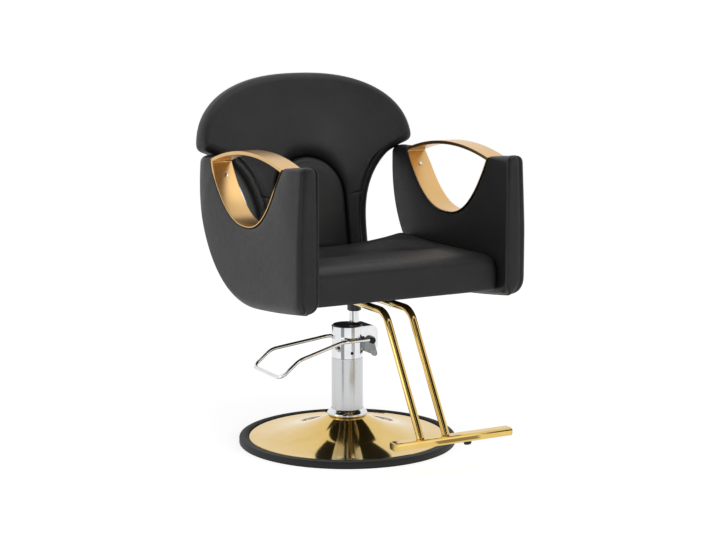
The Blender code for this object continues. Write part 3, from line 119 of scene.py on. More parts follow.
def makeLeatherette():
    # black PU leatherette, embossed and rolled: dense pebble grain, soft sheen, duller where creased
    # a real pebble is about 1.2 mm, drawn 2.6 mm so that it still shows
    look = leatherLook
    material, tree, shader, place = startMaterial("black_leatherette", IOR=1.5, Specular_IOR_Level=0.42)
    mottle = addNode(tree, "ShaderNodeTexNoise", {"Scale": 1 / look["mottle"], "Detail": 3},
                     {"Vector": place})
    pebble = addNode(tree, "ShaderNodeTexVoronoi", {"Scale": 1 / look["pebble"], "Smoothness": 0.6},
                     {"Vector": place}, feature="SMOOTH_F1")
    crease = addNode(tree, "ShaderNodeTexNoise",
                     {"Scale": 1 / look["crease"], "Detail": 6, "Distortion": 1.2}, {"Vector": place})
    height = addNode(tree, "ShaderNodeMath", operation="ADD",
                     links={0: pebble.outputs["Distance"], 1: crease.outputs["Fac"]})
    tint(tree, shader, mottle.outputs["Fac"], look["dark"], look["light"])
    gloss(tree, shader, crease.outputs["Fac"], 0.38, 0.58)
    relief(tree, shader, height.outputs["Value"], look["relief"], 0.4)
    return material


def makePolishedGold():
    # brass-plated steel, buffed to a mirror: pale gold, clear dark reflections, faint buffing haze
    material, tree, shader, place = startMaterial("polished_gold_plate", Metallic=1.0)
    haze = addNode(tree, "ShaderNodeTexNoise", {"Scale": 1 / (40 * mm), "Detail": 5}, {"Vector": place})
    tint(tree, shader, haze.outputs["Fac"], "#d9b669", "#dfbf74")
    gloss(tree, shader, haze.outputs["Fac"], 0.06, 0.09)
    return material


def makeBrushedGold():
    # gold-plated strip, brushed along its length: warm peach, streaks that spread highlights across it
    # real strokes are 0.1 mm apart, drawn 1.6 mm so that they show
    material, tree, shader, place = startMaterial("brushed_gold_plate", Metallic=1.0)
    along = addNode(tree, "ShaderNodeMapping", {"Scale": (1 / (1.6 * mm), 6.0, 6.0)}, {"Vector": place})
    strokes = addNode(tree, "ShaderNodeTexNoise", {"Scale": 1.0, "Detail": 4},
                      {"Vector": along.outputs["Vector"]})
    tint(tree, shader, strokes.outputs["Fac"], "#d9b073", "#e2bb83")
    gloss(tree, shader, strokes.outputs["Fac"], 0.27, 0.32)
    relief(tree, shader, strokes.outputs["Fac"], 0.03 * mm, 0.2)
    return material


def makeChrome():
    # bright chrome plate over ground steel: near-white mirror with a faint film of handling
    material, tree, shader, place = startMaterial("bright_chrome", Metallic=1.0)
    film = addNode(tree, "ShaderNodeTexNoise", {"Scale": 1 / (25 * mm), "Detail": 4}, {"Vector": place})
    tint(tree, shader, film.outputs["Fac"], "#d6d8da", "#e4e5e6")
    gloss(tree, shader, film.outputs["Fac"], 0.04, 0.12)
    return material


def makeSatinAluminium():
    # drawn aluminium tube, satin anodised: grey, fine lines up its length that give soft vertical bands
    # real draw lines are under 0.2 mm, drawn 2 mm so that they show
    material, tree, shader, place = startMaterial("satin_anodised_aluminium", Metallic=1.0)
    upright = addNode(tree, "ShaderNodeMapping", {"Scale": (1 / (2 * mm), 1 / (2 * mm), 4.0)},
                      {"Vector": place})
    lines = addNode(tree, "ShaderNodeTexNoise", {"Scale": 1.0, "Detail": 3},
                    {"Vector": upright.outputs["Vector"]})
    tint(tree, shader, lines.outputs["Fac"], "#c4c5c6", "#cbcccd")
    gloss(tree, shader, lines.outputs["Fac"], 0.18, 0.24)
    return material


def makeZincSteel():
    # pressed steel, zinc plated: mid grey with a cloudy, slightly mottled gloss
    material, tree, shader, place = startMaterial("zinc_plated_steel", Metallic=1.0)
    cloud = addNode(tree, "ShaderNodeTexNoise", {"Scale": 1 / (9 * mm), "Detail": 6}, {"Vector": place})
    tint(tree, shader, cloud.outputs["Fac"], "#85888b", "#a3a6a8")
    gloss(tree, shader, cloud.outputs["Fac"], 0.28, 0.46)
    return material


def makeBlackOxide():
    # hardened screw, oil-blackened: charcoal with a dull oily glint
    material, tree, shader, place = startMaterial("black_oxide_steel", Metallic=0.7)
    oil = addNode(tree, "ShaderNodeTexNoise", {"Scale": 1 / (4 * mm), "Detail": 3}, {"Vector": place})
    tint(tree, shader, oil.outputs["Fac"], "#161617", "#29292b")
    gloss(tree, shader, oil.outputs["Fac"], 0.30, 0.45)
    return material


def makeBlackEnamel():
    # steel, sprayed and baked black: glossy film with a slight orange peel
    material, tree, shader, place = startMaterial("baked_black_enamel", IOR=1.5)
    peel = addNode(tree, "ShaderNodeTexNoise", {"Scale": 1 / (3 * mm), "Detail": 2}, {"Vector": place})
    tint(tree, shader, peel.outputs["Fac"], "#121213", "#1a1a1b")
    gloss(tree, shader, peel.outputs["Fac"], 0.24, 0.36)
    relief(tree, shader, peel.outputs["Fac"], 0.06 * mm, 0.4)
    return material


def makeRubber():
    # moulded black rubber: charcoal, matte, fine grit from the mould and a little dust
    material, tree, shader, place = startMaterial("moulded_black_rubber", IOR=1.52,
                                                  Specular_IOR_Level=0.35)
    grit = addNode(tree, "ShaderNodeTexNoise", {"Scale": 1 / (1.5 * mm), "Detail": 4}, {"Vector": place})
    dust = addNode(tree, "ShaderNodeTexNoise", {"Scale": 1 / (60 * mm), "Detail": 5}, {"Vector": place})
    tint(tree, shader, dust.outputs["Fac"], "#181818", "#212121")
    gloss(tree, shader, grit.outputs["Fac"], 0.50, 0.68)
    relief(tree, shader, grit.outputs["Fac"], 0.15 * mm, 0.5)
    return material


def makeBlackAbs():
    # moulded ABS: black with a satin spark texture
    material, tree, shader, place = startMaterial("moulded_black_abs", IOR=1.54)
    spark = addNode(tree, "ShaderNodeTexNoise", {"Scale": 1 / (0.9 * mm), "Detail": 2}, {"Vector": place})
    tint(tree, shader, spark.outputs["Fac"], "#101011", "#1b1b1c")
    gloss(tree, shader, spark.outputs["Fac"], 0.30, 0.44)
    relief(tree, shader, spark.outputs["Fac"], 0.05 * mm, 0.5)
    return material


def makeStainedPlywood():
    # birch plywood, stained black under the seat: dull, with the plies and a long grain just showing
    material, tree, shader, place = startMaterial("black_stained_plywood", IOR=1.46,
                                                  Specular_IOR_Level=0.3)
    grainAlong = addNode(tree, "ShaderNodeMapping", {"Scale": (1 / (5 * mm), 8.0, 1 / (1.5 * mm))},
                         {"Vector": place})
    grain = addNode(tree, "ShaderNodeTexNoise", {"Scale": 1.0, "Detail": 5, "Distortion": 0.4},
                    {"Vector": grainAlong.outputs["Vector"]})
    tint(tree, shader, grain.outputs["Fac"], "#141312", "#24211f")
    gloss(tree, shader, grain.outputs["Fac"], 0.60, 0.78)
    relief(tree, shader, grain.outputs["Fac"], 0.1 * mm, 0.4)
    return material


leatherette = makeLeatherette()
polishedGold = makePolishedGold()
brushedGold = makeBrushedGold()
chrome = makeChrome()
satinAluminium = makeSatinAluminium()
zincSteel = makeZincSteel()
blackOxide = makeBlackOxide()
blackEnamel = makeBlackEnamel()
rubber = makeRubber()
blackAbs = makeBlackAbs()
stainedPlywood = makeStainedPlywood()

finishes = [                                    # start of the node's name, and what it is made of
    (("base_rubber_ring", "ram_wiper_seal", "piston_seal"), rubber),
    (("base_dome", "footrest_post", "footrest_bar", "footrest_cap"), polishedGold),
    (("arm_rail",), brushedGold),
    (("column_collar", "pump_head", "lift_ram", "pump_plunger", "pedal_loop", "rail_screw"), chrome),
    (("column_sleeve",), satinAluminium),
    (("head_screw", "pedal_pivot_pin"), blackOxide),
    (("pump_top_cover",), blackAbs),
    (("seat_socket", "mount_plate", "footrest_saddle", "back_bracket"), blackEnamel),
    (("seat_frame", "arm_core", "back_board"), stainedPlywood),
    (("base_plate", "base_bolt", "pump_cylinder", "ram_piston", "pedal_yoke", "plunger_spring",
      "mount_bolt", "arm_bolt", "bracket_seat_bolt", "bracket_back_bolt"), zincSteel),
    (("seat_cushion", "arm_pad", "back_panel", "lumbar_pad"), leatherette),
]
for starts, material in finishes:
    for name, node in nodes.items():
        if name.startswith(starts):
            node.data.materials.clear()
            node.data.materials.append(material)
print("materials made:", len(finishes))


# meshes

def makePiece(name, points, faces, material, body, subdivision=1, hard=False):
    mesh = bpy.data.meshes.new(name)
    mesh.from_pydata(points, [], faces)
    bm = bmesh.new()
    bm.from_mesh(mesh)
    bmesh.ops.recalc_face_normals(bm, faces=bm.faces)
    bm.to_mesh(mesh)
    bm.free()
    mesh.shade_smooth()
    mesh.materials.append(material)
    piece = bpy.data.objects.new(name, mesh)
    bpy.context.scene.collection.objects.link(piece)
    if subdivision:
        smooth = piece.modifiers.new("smooth", "SUBSURF")
        smooth.levels = smooth.render_levels = subdivision
    if hard:
        piece.modifiers.new("flatFaces", "WEIGHTED_NORMAL")
    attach(piece, body)
    return piece


def skinFaces(rows, count, loop=False):         # quads over rings with the same count of points
    faces = []
    for a in range(rows if loop else rows - 1):
        b = (a + 1) % rows
        for k in range(count):
            j = (k + 1) % count
            faces.append((a * count + k, a * count + j, b * count + j, b * count + k))
    if not loop:
        faces += [tuple(range(count)), tuple(range((rows - 1) * count, rows * count))]
    return faces


def skin(name, rings, material, body, loop=False, subdivision=1, hard=False):
    points = [p for ring in rings for p in ring]
    faces = skinFaces(len(rings), len(rings[0]), loop)
    return makePiece(name, points, faces, material, body, subdivision, hard)


def evenly(points, count):                      # the same path with points at even steps
    runs = [0.0]
    for a, b in zip(points, points[1:]):
        runs.append(runs[-1] + (b - a).length)
    path, k = [], 0
    for step in range(count):
        goal = runs[-1] * step / (count - 1)
        while k < len(points) - 2 and runs[k + 1] < goal:
            k += 1
        share = (goal - runs[k]) / max(runs[k + 1] - runs[k], 1e-9)
        path.append(points[k].lerp(points[k + 1], min(max(share, 0.0), 1.0)))
    return path


def leftNormals(path):                          # to the left of the path's direction
    normals = []
    for k in range(len(path)):
        run = path[min(k + 1, len(path) - 1)] - path[max(k - 1, 0)]
        normals.append(Vector((-run.y, run.x)).normalized())
    return normals


def padSlab(name, rows, levels, swell, toSpace, body):
    # rows of plan points; levels are (inset, height) of the edge from the back to the front
    last, columns = len(rows) - 1, len(rows[0]) - 1
    plan = [Vector(p) for row in rows for p in row]
    low = Vector((min(p.x for p in plan), min(p.y for p in plan)))
    high = Vector((max(p.x for p in plan), max(p.y for p in plan)))
    centre, reach = (low + high) / 2, (high - low) / 2

    def drawnIn(i, j, inset):
        p = Vector(rows[i][j]) - centre
        return centre + Vector((p.x * (1 - inset / reach.x), p.y * (1 - inset / reach.y)))

    edge = [(i, columns) for i in range(last + 1)] + [(last, j) for j in range(columns - 1, 0, -1)]
    edge += [(i, 0) for i in range(last, -1, -1)] + [(0, j) for j in range(1, columns)]
    points = [toSpace(drawnIn(i, j, inset), height) for inset, height in levels for i, j in edge]
    faces = skinFaces(len(levels), len(edge))[:-2]
    for level, lifted in ((0, False), (len(levels) - 1, True)):
        inset, height = levels[level]
        grid = {place: level * len(edge) + k for k, place in enumerate(edge)}
        for i in range(1, last):
            for j in range(1, columns):
                p = drawnIn(i, j, inset)
                lift = swell(i / last, j / columns, p) if lifted else 0.0
                grid[(i, j)] = len(points)
                points.append(toSpace(p, height + lift))
        for i in range(last):
            for j in range(columns):
                faces.append((grid[(i, j)], grid[(i, j + 1)], grid[(i + 1, j + 1)], grid[(i + 1, j)]))
    return makePiece(name, points, faces, leatherette, body)


def rowAcross(half, along, columns):            # plan points from one side to the other
    return [(half * (2 * j / columns - 1), along) for j in range(columns + 1)]


def ease(share):                                # 0 to 1 with soft ends
    share = min(max(share, 0.0), 1.0)
    return share * share * (3 - 2 * share)


def handmade(x, y, size, depth):                # slow unevenness of foam under the cover
    return depth * noise.noise(Vector((x, y, foamSlice)) / size)


foamSlice = 0.37                                # slice of the noise that the foam takes
seam = {"half": 2.2 * mm, "depth": 4.0 * mm}    # sewn seam: half width and depth of its groove


def quarterTurn(radius, deep):                  # (along, across) parts of a rounded edge
    return [(deep * sin(pi / 12 * k), radius * cos(pi / 12 * k)) for k in range(7)]


# seat cushion

seatForm = {"half": 0.2705, "front": -0.287, "rear": 0.205, "bottom": 0.0206, "side": 0.070,
            "roll": 0.028, "rollInset": 0.044, "bottomEdge": 0.006, "sideBulge": 1.6 * mm, "crown": 0.006,
            "sag": 0.024, "pullIn": 0.003, "corner": 0.012, "hollow": 0.021, "hollowX": 0.128,
            "hollowY": -0.010, "hollowHalf": (0.105, 0.125), "hollowEdge": 1.12, "hollowFade": 0.6,
            "pinch": 0.005, "pinchReach": 0.014, "rearLift": 0.007, "uneven": (0.09, 1.2 * mm),
            "rows": 32, "columns": 30}
seatDepth = seatForm["rear"] - seatForm["front"]


def seatHalf(share):
    corner = max(0.0, seatForm["corner"] - min(share, 1 - share) * seatDepth)
    roundOff = seatForm["corner"] - (seatForm["corner"] ** 2 - corner ** 2) ** 0.5
    return seatForm["half"] - seatForm["pullIn"] * sin(pi * share) - roundOff


def seatSwell(along, across, place):
    halfX, halfY = seatForm["hollowHalf"]
    aside = (abs(place.x) - seatForm["hollowX"]) / halfX     # a hollow for each thigh, a ridge between
    away = (aside ** 2 + ((place.y - seatForm["hollowY"]) / halfY) ** 2) ** 0.5
    hollow = seatForm["hollow"] * ease((seatForm["hollowEdge"] - away) / seatForm["hollowFade"])
    ends = ease(5 * min(along, 1 - along)) * ease(5 * min(across, 1 - across))
    return (seatForm["crown"] + handmade(place.x, place.y, *seatForm["uneven"])) * ends - hollow


def onSeat(p, height):
    share = (p.y - seatForm["front"]) / seatDepth
    width = abs(p.x) / seatForm["half"]
    rearLift = seatForm["rearLift"] * width ** 4 * ease(2 * share - 1)
    sag = seatForm["sag"] * (1 - width ** 2) * ease(share) - rearLift
    rise = (height - seatForm["bottom"]) / (seatForm["side"] + seatForm["roll"])
    corner = Vector((seatForm["half"] if p.x > 0 else -seatForm["half"], seatForm["front"]))
    near = (p - corner).length / seatForm["pinchReach"]      # cover gathered at the front corners
    pinch = seatForm["pinch"] * exp(-near ** 2) * ease(1.6 * rise - 0.5)
    pinched = p - corner.normalized() * pinch
    return spot(pinched.x, pinched.y, height - sag * rise)


cornerStep = seatForm["corner"] / seatDepth
shares = [0, 0.15 * cornerStep, 0.5 * cornerStep, cornerStep]
shares += [k / seatForm["rows"] for k in range(2, seatForm["rows"] - 1)]
shares += [1 - share for share in reversed(shares[:4])]
seatRows = []
for share in shares:
    half = seatHalf(share)
    y = seatForm["front"] + seatDepth * share
    seatRows.append(rowAcross(half, y, seatForm["columns"]))
sideTop = seatForm["bottom"] + seatForm["side"]
seatLevels = [(seatForm["bottomEdge"], seatForm["bottom"]),
              (1.0 * mm, seatForm["bottom"] + 0.4 * seatForm["bottomEdge"]),
              (0, seatForm["bottom"] + seatForm["bottomEdge"])]
for share in (0.2, 0.4, 0.6, 0.8):
    bulge = seatForm["sideBulge"] * sin(pi * share)
    seatLevels.append((-bulge, seatForm["bottom"] + seatForm["side"] * share))
for angle in (0, 18, 36, 54, 72, 90):
    a = radians(angle)
    seatLevels.append((seatForm["rollInset"] * (1 - cos(a)), sideTop + seatForm["roll"] * sin(a)))
seatCushion = padSlab("seatCushion", seatRows, seatLevels, seatSwell, onSeat, "seat")
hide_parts("seat_cushion")
print("seat cushion made")


# arms: boxed pads, a sewn seam on both edges of the strip that runs round them

armForm = {"inner": 0.272, "thick": 0.062, "topLean": 0.0075, "rear": 0.2755, "horn": 0.3518,
           "shoulder": 0.3028, "lowY": -0.030, "low": -0.0180, "sweep": 2.15, "front": -0.3225,
           "frontLow": 0.0080, "corner": 0.030, "frontTop": 0.3750, "bottomRound": 0.030,
           "edgeRound": 0.0115, "deepRound": 0.5, "innerRound": 0.0045, "innerBottom": 0.020,
           "lip": 0.0075, "crown": 0.004, "stripCrown": 0.0032, "endRound": 0.018, "tipRise": 0.3,
           "stations": 92}
cutForm = {"hornDepth": 0.0820, "frontDepth": 0.0945, "rearRise": 0.0010, "frontDrop": 0.0112,
           "lowY": -0.025, "low": 0.1958, "power": 2.35}
cutRear = Vector((armForm["rear"] - cutForm["hornDepth"], armForm["horn"] + cutForm["rearRise"]))
cutFront = Vector((armForm["front"] + cutForm["frontDepth"], armForm["frontTop"] - cutForm["frontDrop"]))


def armCut(share):                              # edge of the U cut, rear tip at 0 and front tip at 1
    middle = (cutRear.x + cutFront.x) / 2
    y = middle + (cutRear.x - middle) * cos(pi * share)
    tip = cutFront if y < cutForm["lowY"] else cutRear
    rise = ((y - cutForm["lowY"]) / (tip.x - cutForm["lowY"])) ** cutForm["power"]
    return Vector((y, cutForm["low"] + (tip.y - cutForm["low"]) * rise))


def armOutline():                               # (y, z) from the rear horn round below to the front
    form = armForm
    path = [(form["rear"], form["horn"] - form["endRound"])]
    for k in range(61):
        a = k / 60 * pi / 2
        path.append((form["lowY"] + (form["rear"] - form["lowY"]) * cos(a) ** (2 / form["sweep"]),
                     form["shoulder"] - (form["shoulder"] - form["low"]) * sin(a) ** (2 / form["sweep"])))
    cornerY = form["front"] + form["corner"]
    for k in range(1, 20):
        share = k / 20
        path.append((form["lowY"] + (cornerY - form["lowY"]) * share,
                     form["low"] + (form["frontLow"] - form["low"]) * share ** 1.3))
    for k in range(13):
        a = k / 12 * pi / 2
        path.append((cornerY - form["corner"] * sin(a), form["frontLow"] + form["corner"] * (1 - cos(a))))
    path.append((form["front"], form["frontTop"] - form["endRound"]))
    return evenly([Vector(p) for p in path], form["stations"])


def armFace(z):                                 # outer face, leaning in towards the top
    middle = (armForm["low"] + armForm["frontTop"]) / 2
    lean = armForm["topLean"] * max(0.0, (z - middle) / (armForm["frontTop"] - middle))
    return armForm["inner"] + armForm["thick"] - lean


def armSection(width, face, big, deep, small):  # (distance from the cut, x) round the pad
    inner, lip, half = armForm["inner"], armForm["lip"], seam["half"]
    points = [(0, inner + lip), (0, (inner + face) / 2), (0, face - lip), (0.3 * lip, face - 0.3 * lip)]
    flat = width - deep - lip
    for share in (0, 0.12, 0.28, 0.44, 0.6, 0.76, 0.9):
        points.append((lip + flat * share, face + armForm["crown"] * sin(pi * share)))
    points += [(width - deep + s, face - big + c) for s, c in quarterTurn(big, deep)]
    stripOut, stripIn = face - big - 2.8 * half, inner + small + 2 * half
    points += [(width - seam["depth"], stripOut + half * k) for k in (1.9, 0.9)]
    for share in (0, 0.2, 0.5, 0.8, 1):
        crown = armForm["stripCrown"] * sin(pi * share)
        points.append((width + crown, stripOut + (stripIn - stripOut) * share))
    points += [(width - seam["depth"], stripIn - half * k) for k in (0.65, 1.35)]
    points += [(width - small + c, inner + small - s) for s, c in quarterTurn(small, small)]
    points += [(lip + (width - small - lip) * share, inner) for share in (0.85, 0.65, 0.45, 0.25, 0)]
    points.append((0.3 * lip, inner + 0.3 * lip))
    return points


def closeEnd(ring):                             # rings that round off an upper end of the pad
    middle = sum((p for p, x in ring), Vector((0, 0))) / len(ring)
    middleX = sum(x for p, x in ring) / len(ring)
    tip = ring[0][0]
    fromTip = max((p - tip).length for p, x in ring)
    reach = max((p - middle).length for p, x in ring)
    reachX = max(abs(x - middleX) for p, x in ring)
    rings = []
    for angle, shrink in ((18, 0), (36, 0), (54, 0), (72, 0), (90, 0), (90, 0.45)):
        a = radians(angle)
        inset = armForm["endRound"] * (1 - cos(a))
        ringOut = []
        for p, x in ring:
            lift = armForm["tipRise"] + (1 - armForm["tipRise"]) * (p - tip).length / fromTip
            ringOut.append((middle + (p - middle) * (1 - inset / reach) * (1 - shrink)
                            + Vector((0, armForm["endRound"] * sin(a) * lift + shrink * mm)),
                            middleX + (x - middleX) * (1 - inset / reachX) * (1 - shrink)))
        rings.append(ringOut)
    return rings


armEdge = armOutline()
armRings = []
for k, outer in enumerate(armEdge):
    inner = armCut(k / (len(armEdge) - 1))
    run = armEdge[min(k + 1, len(armEdge) - 1)] - armEdge[max(k - 1, 0)]
    downward = max(0.0, -run.normalized().x)    # 1 along the underside
    width = (outer - inner).length
    along = (outer - inner).normalized()
    face = armFace(outer.y)
    room = face - armForm["inner"]
    big = min(armForm["edgeRound"] + (armForm["bottomRound"] - armForm["edgeRound"]) * downward,
              0.72 * room, 0.45 * width)
    deep = min(big * (1 + armForm["deepRound"] * (1 - downward)), 0.45 * width)
    small = armForm["innerRound"] + (armForm["innerBottom"] - armForm["innerRound"]) * downward
    section = armSection(width, face, big, deep, min(small, 0.2 * width))
    armRings.append([(inner + along * a, x) for a, x in section])
armRings = closeEnd(armRings[0])[::-1] + armRings + closeEnd(armRings[-1])
for side, sign in (("left", 1), ("right", -1)):
    rings = [[spot(sign * x, p.x, p.y) for p, x in ring] for ring in armRings]
    arm = skin("armPad_" + side, rings, leatherette, "seat")
    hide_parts("arm_pad_" + side)
print("arms made,", len(armRings), "rings each")


# back: boxed horseshoe panel round the lumbar arch, rear cover let into it, lumbar pad

backForm = {"foot": 0.0428, "footY": 0.2484, "lean": radians(10.6), "planRadius": 1.45, "thick": 0.065,
            "stem": 0.171, "stemTop": 0.0900, "flareStart": 3.0, "flareEnd": 1.08, "neck": 0.259,
            "neckRise": 0.024, "headLow": 0.3598, "headTall": 0.2015, "head": 0.328, "square": 2.35,
            "corner": 0.022, "edge": 0.026, "rearEdge": 0.016, "crown": 0.006, "sideBulge": 0.0015,
            "uneven": (0.11, 0.8 * mm), "seam": 0.2195, "low": 14, "high": 62}
lumbarForm = {"half": 0.108, "spring": 0.2208, "crease": 0.003, "floor": -0.0015, "edge": 0.018,
              "crown": 0.009, "sideSlope": 0.013, "topSlope": 0.060, "sideDepth": 0.018,
              "topDepth": 0.034, "uneven": (0.08, 0.8 * mm), "topRow": 0.9985, "columns": 16}
halfBack = backForm["thick"] / 2


def onBack(p, forward):                         # outline point and distance ahead of the panel's middle
    lean = backForm["lean"]
    y = backForm["footY"] + (p.y - backForm["foot"]) * tan(lean) - p.x ** 2 / (2 * backForm["planRadius"])
    return spot(p.x, y - forward * cos(lean), p.y + forward * sin(lean))


def backHalf(z):
    form = backForm
    neckZ = form["headLow"] - form["neckRise"]
    if z >= form["headLow"]:
        rise = min((z - form["headLow"]) / form["headTall"], 1.0)
        corner = max(0.0, 1 - (z - form["headLow"]) / form["corner"])
        roundOff = form["corner"] * (1 - (1 - corner ** 2) ** 0.5)
        return form["head"] * (1 - rise ** form["square"]) ** (1 / form["square"]) - roundOff
    if z >= neckZ:
        widen = (z - neckZ) / form["neckRise"]
        return form["neck"] + (form["head"] - form["corner"] - form["neck"]) * widen
    share = max(0.0, (z - form["stemTop"]) / (neckZ - form["stemTop"]))
    flare = (1 - share ** form["flareStart"]) ** (1 / form["flareEnd"])
    return form["neck"] - (form["neck"] - form["stem"]) * flare


def backSide():                                 # right side from the foot to the middle of the head
    form = backForm
    neckZ = form["headLow"] - form["neckRise"]
    heights = [form["foot"] + (neckZ - form["foot"]) * sin(pi / 2 * k / 60) for k in range(60)]
    heights += [neckZ + form["neckRise"] * k / 8 for k in range(8)]
    heights += [form["headLow"] + form["corner"] * (k / 12) ** 2 for k in range(12)]
    low, tall = form["headLow"] + form["corner"], form["headTall"] - form["corner"]
    heights += [low + tall * sin(pi / 2 * k / 60) for k in range(60)]
    return [Vector((backHalf(z), z)) for z in heights] + [Vector((0, form["headLow"] + form["headTall"]))]


def archSide(half):                             # right side of the arch from its foot to its top
    low, spring, steps = backForm["foot"], lumbarForm["spring"], 40
    side = [Vector((half, low + (spring - low) * k / steps)) for k in range(steps)]
    turns = [pi / 2 * k / steps for k in range(steps + 1)]
    return side + [Vector((half * cos(t), spring + half * sin(t))) for t in turns]


def matched(side):                              # stations up one side, three of them at the cross seam
    z = backForm["seam"]
    split = next(k for k, p in enumerate(side) if p.y > z)
    share = (z - side[split - 1].y) / (side[split].y - side[split - 1].y)
    at = side[split - 1].lerp(side[split], share)
    low = evenly(side[:split] + [at], backForm["low"])
    high = evenly([at] + side[split:], backForm["high"])
    near = seam["half"] * 1.3
    below, above = (low[-2] - at).normalized() * near, (high[1] - at).normalized() * near
    return low[:-1] + [at + below, at, at + above] + high[1:]


def bothSides(side):                            # from the left foot over the top to the right foot
    return [Vector((-p.x, p.y)) for p in side[:-1]] + side[::-1]


backEdge = bothSides(matched(backSide()))
backInward = [-n for n in leftNormals(backEdge)]
notchHalf = lumbarForm["half"] + lumbarForm["crease"]
notchEdge = bothSides(matched(archSide(notchHalf)))
notchOut = leftNormals(notchEdge)
seamRing = backForm["low"]                      # station of the cross seam, counted from either foot
coverInset, coverDepth = 0.021, 0.004           # rear cover's seam from the edge, and the rebate it lies in
edge, rearEdge = backForm["edge"], backForm["rearEdge"]
backRings = []
for k, (outer, inward, inner, outward) in enumerate(zip(backEdge, backInward, notchEdge, notchOut)):
    sunk = seam["depth"] if seamRing in (k, len(backEdge) - 1 - k) else 0.0
    lift = min(max((inner.y - lumbarForm["spring"]) / notchHalf, 0.0), 1.0) ** 2
    slope = lumbarForm["sideSlope"] + (lumbarForm["topSlope"] - lumbarForm["sideSlope"]) * lift
    depth = lumbarForm["sideDepth"] + (lumbarForm["topDepth"] - lumbarForm["sideDepth"]) * lift
    section = [(inner, lumbarForm["floor"])]
    for angle in (0, 22, 45, 68, 90):
        a = radians(angle)
        section.append((inner + outward * slope * (1 - cos(a)), halfBack - depth + depth * sin(a)))
    start, end = inner + outward * slope, outer + inward * edge
    for share in (0.08, 0.2, 0.34, 0.5, 0.66, 0.8, 0.92):
        p = start.lerp(end, share)
        uneven = handmade(p.x, p.y, *backForm["uneven"])
        section.append((p, halfBack + backForm["crown"] * sin(pi * share) + uneven - sunk))
    section += [(outer + inward * (edge - s), halfBack - edge + c) for s, c in quarterTurn(edge, edge)]
    for share in (0.15, 0.5, 0.85):
        section.append((outer - inward * backForm["sideBulge"] * sin(pi * share),
                        halfBack - edge - (backForm["thick"] - edge - rearEdge) * share))
    for angle in (0, 30, 60, 90):
        a = radians(angle)
        section.append((outer + inward * rearEdge * (1 - cos(a)), rearEdge - halfBack - rearEdge * sin(a)))
    section += [(outer + inward * (coverInset - 1.5 * mm), -halfBack),
                (outer + inward * coverInset, 1.2 * mm - halfBack),
                (outer + inward * (coverInset + 0.3 * mm), coverDepth - halfBack),
                (start.lerp(end, 0.3), coverDepth - halfBack), (inner, coverDepth - halfBack)]
    backRings.append([onBack(p, forward) for p, forward in section])
backPanel = skin("backPanel", backRings, leatherette, "seat")
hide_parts("back_panel")

coverHalf = len(backEdge) // 2
coverRows = []
for k in range(1, coverHalf - 1):
    p = backEdge[k] + backInward[k] * (coverInset + 0.8 * mm)
    coverRows.append(rowAcross(-p.x, p.y, 12))
coverLevels = [(0, 0.3 * mm), (0, 2.2 * mm), (1.2 * mm, 3.6 * mm), (4 * mm, coverDepth)]
backCover = padSlab("backCover", coverRows, coverLevels, lambda along, across, p: 0.0,
                    lambda p, height: onBack(p, coverDepth - halfBack - height), "seat")

archRows = []
foot = backForm["foot"] + lumbarForm["crease"]
heights = [foot + (lumbarForm["spring"] - foot) * k / 10 for k in range(10)]
heights += [lumbarForm["spring"] + lumbarForm["half"] * sin(pi / 2 * k / 16) for k in range(16)]
heights.append(lumbarForm["spring"] + lumbarForm["half"] * lumbarForm["topRow"])
for z in heights:
    half = (lumbarForm["half"] ** 2 - max(0.0, z - lumbarForm["spring"]) ** 2) ** 0.5
    archRows.append(rowAcross(half, z, lumbarForm["columns"]))


def lumbarSwell(along, across, place):
    crown = lumbarForm["crown"] * (1 - (2 * across - 1) ** 2) * min(1, 4 * (1 - along))
    return crown + handmade(place.x, place.y, *lumbarForm["uneven"])


lumbarEdge = lumbarForm["edge"]
lumbarLevels = [(4 * mm, lumbarForm["floor"] + 0.3 * mm), (0, lumbarForm["floor"] + 4 * mm)]
lumbarLevels += [(lumbarEdge * (1 - cos(radians(a))), halfBack - lumbarEdge + lumbarEdge * sin(radians(a)))
                 for a in (0, 18, 36, 54, 72, 90)]
lumbarPad = padSlab("lumbarPad", archRows, lumbarLevels, lumbarSwell, onBack, "seat")
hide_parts("lumbar_pad")
print("back made,", len(backRings), "rings")


# gold rails: a bent strip that lines each cut, closed by an arch

railForm = {"gap": 0.3 * mm, "sheet": 3.0 * mm, "arch": 9.5 * mm, "rise": 0.0315, "setback": 0.2 * mm,
            "edge": 1.0 * mm, "archSteps": 36}


def lining(share, depth):
    run = armCut(min(share + 0.01, 1)) - armCut(max(share - 0.01, 0))
    return armCut(share) + Vector((run.y, -run.x)).normalized() * depth


def archTop(y):
    share = (y - cutFront.x) / (cutRear.x - cutFront.x)
    return cutFront.y + (cutRear.y - cutFront.y) * share + railForm["rise"] * 4 * share * (1 - share)


def liningEnd(low, high):                       # share where the lining's inside meets the arch's underside
    for step in range(40):
        middle = (low + high) / 2
        p = lining(middle, railForm["gap"] + railForm["sheet"])
        if p.y > archTop(p.x) - railForm["arch"]:
            low = middle
        else:
            high = middle
    return high


def railSection(a, b, low, high):               # strip between two loops, its edges eased
    edge, thick = railForm["edge"], (b - a).length
    part, small = edge / thick, 0.3 * edge
    corners = [(0, low + edge), (0, high - edge), (0.3 * part, high - small), (part, high),
               (1 - part, high), (1 - 0.3 * part, high - small), (1, high - edge), (1, low + edge),
               (1 - 0.3 * part, low + small), (1 - part, low), (part, low), (0.3 * part, low + small)]
    return [(a.lerp(b, share), x) for share, x in corners]


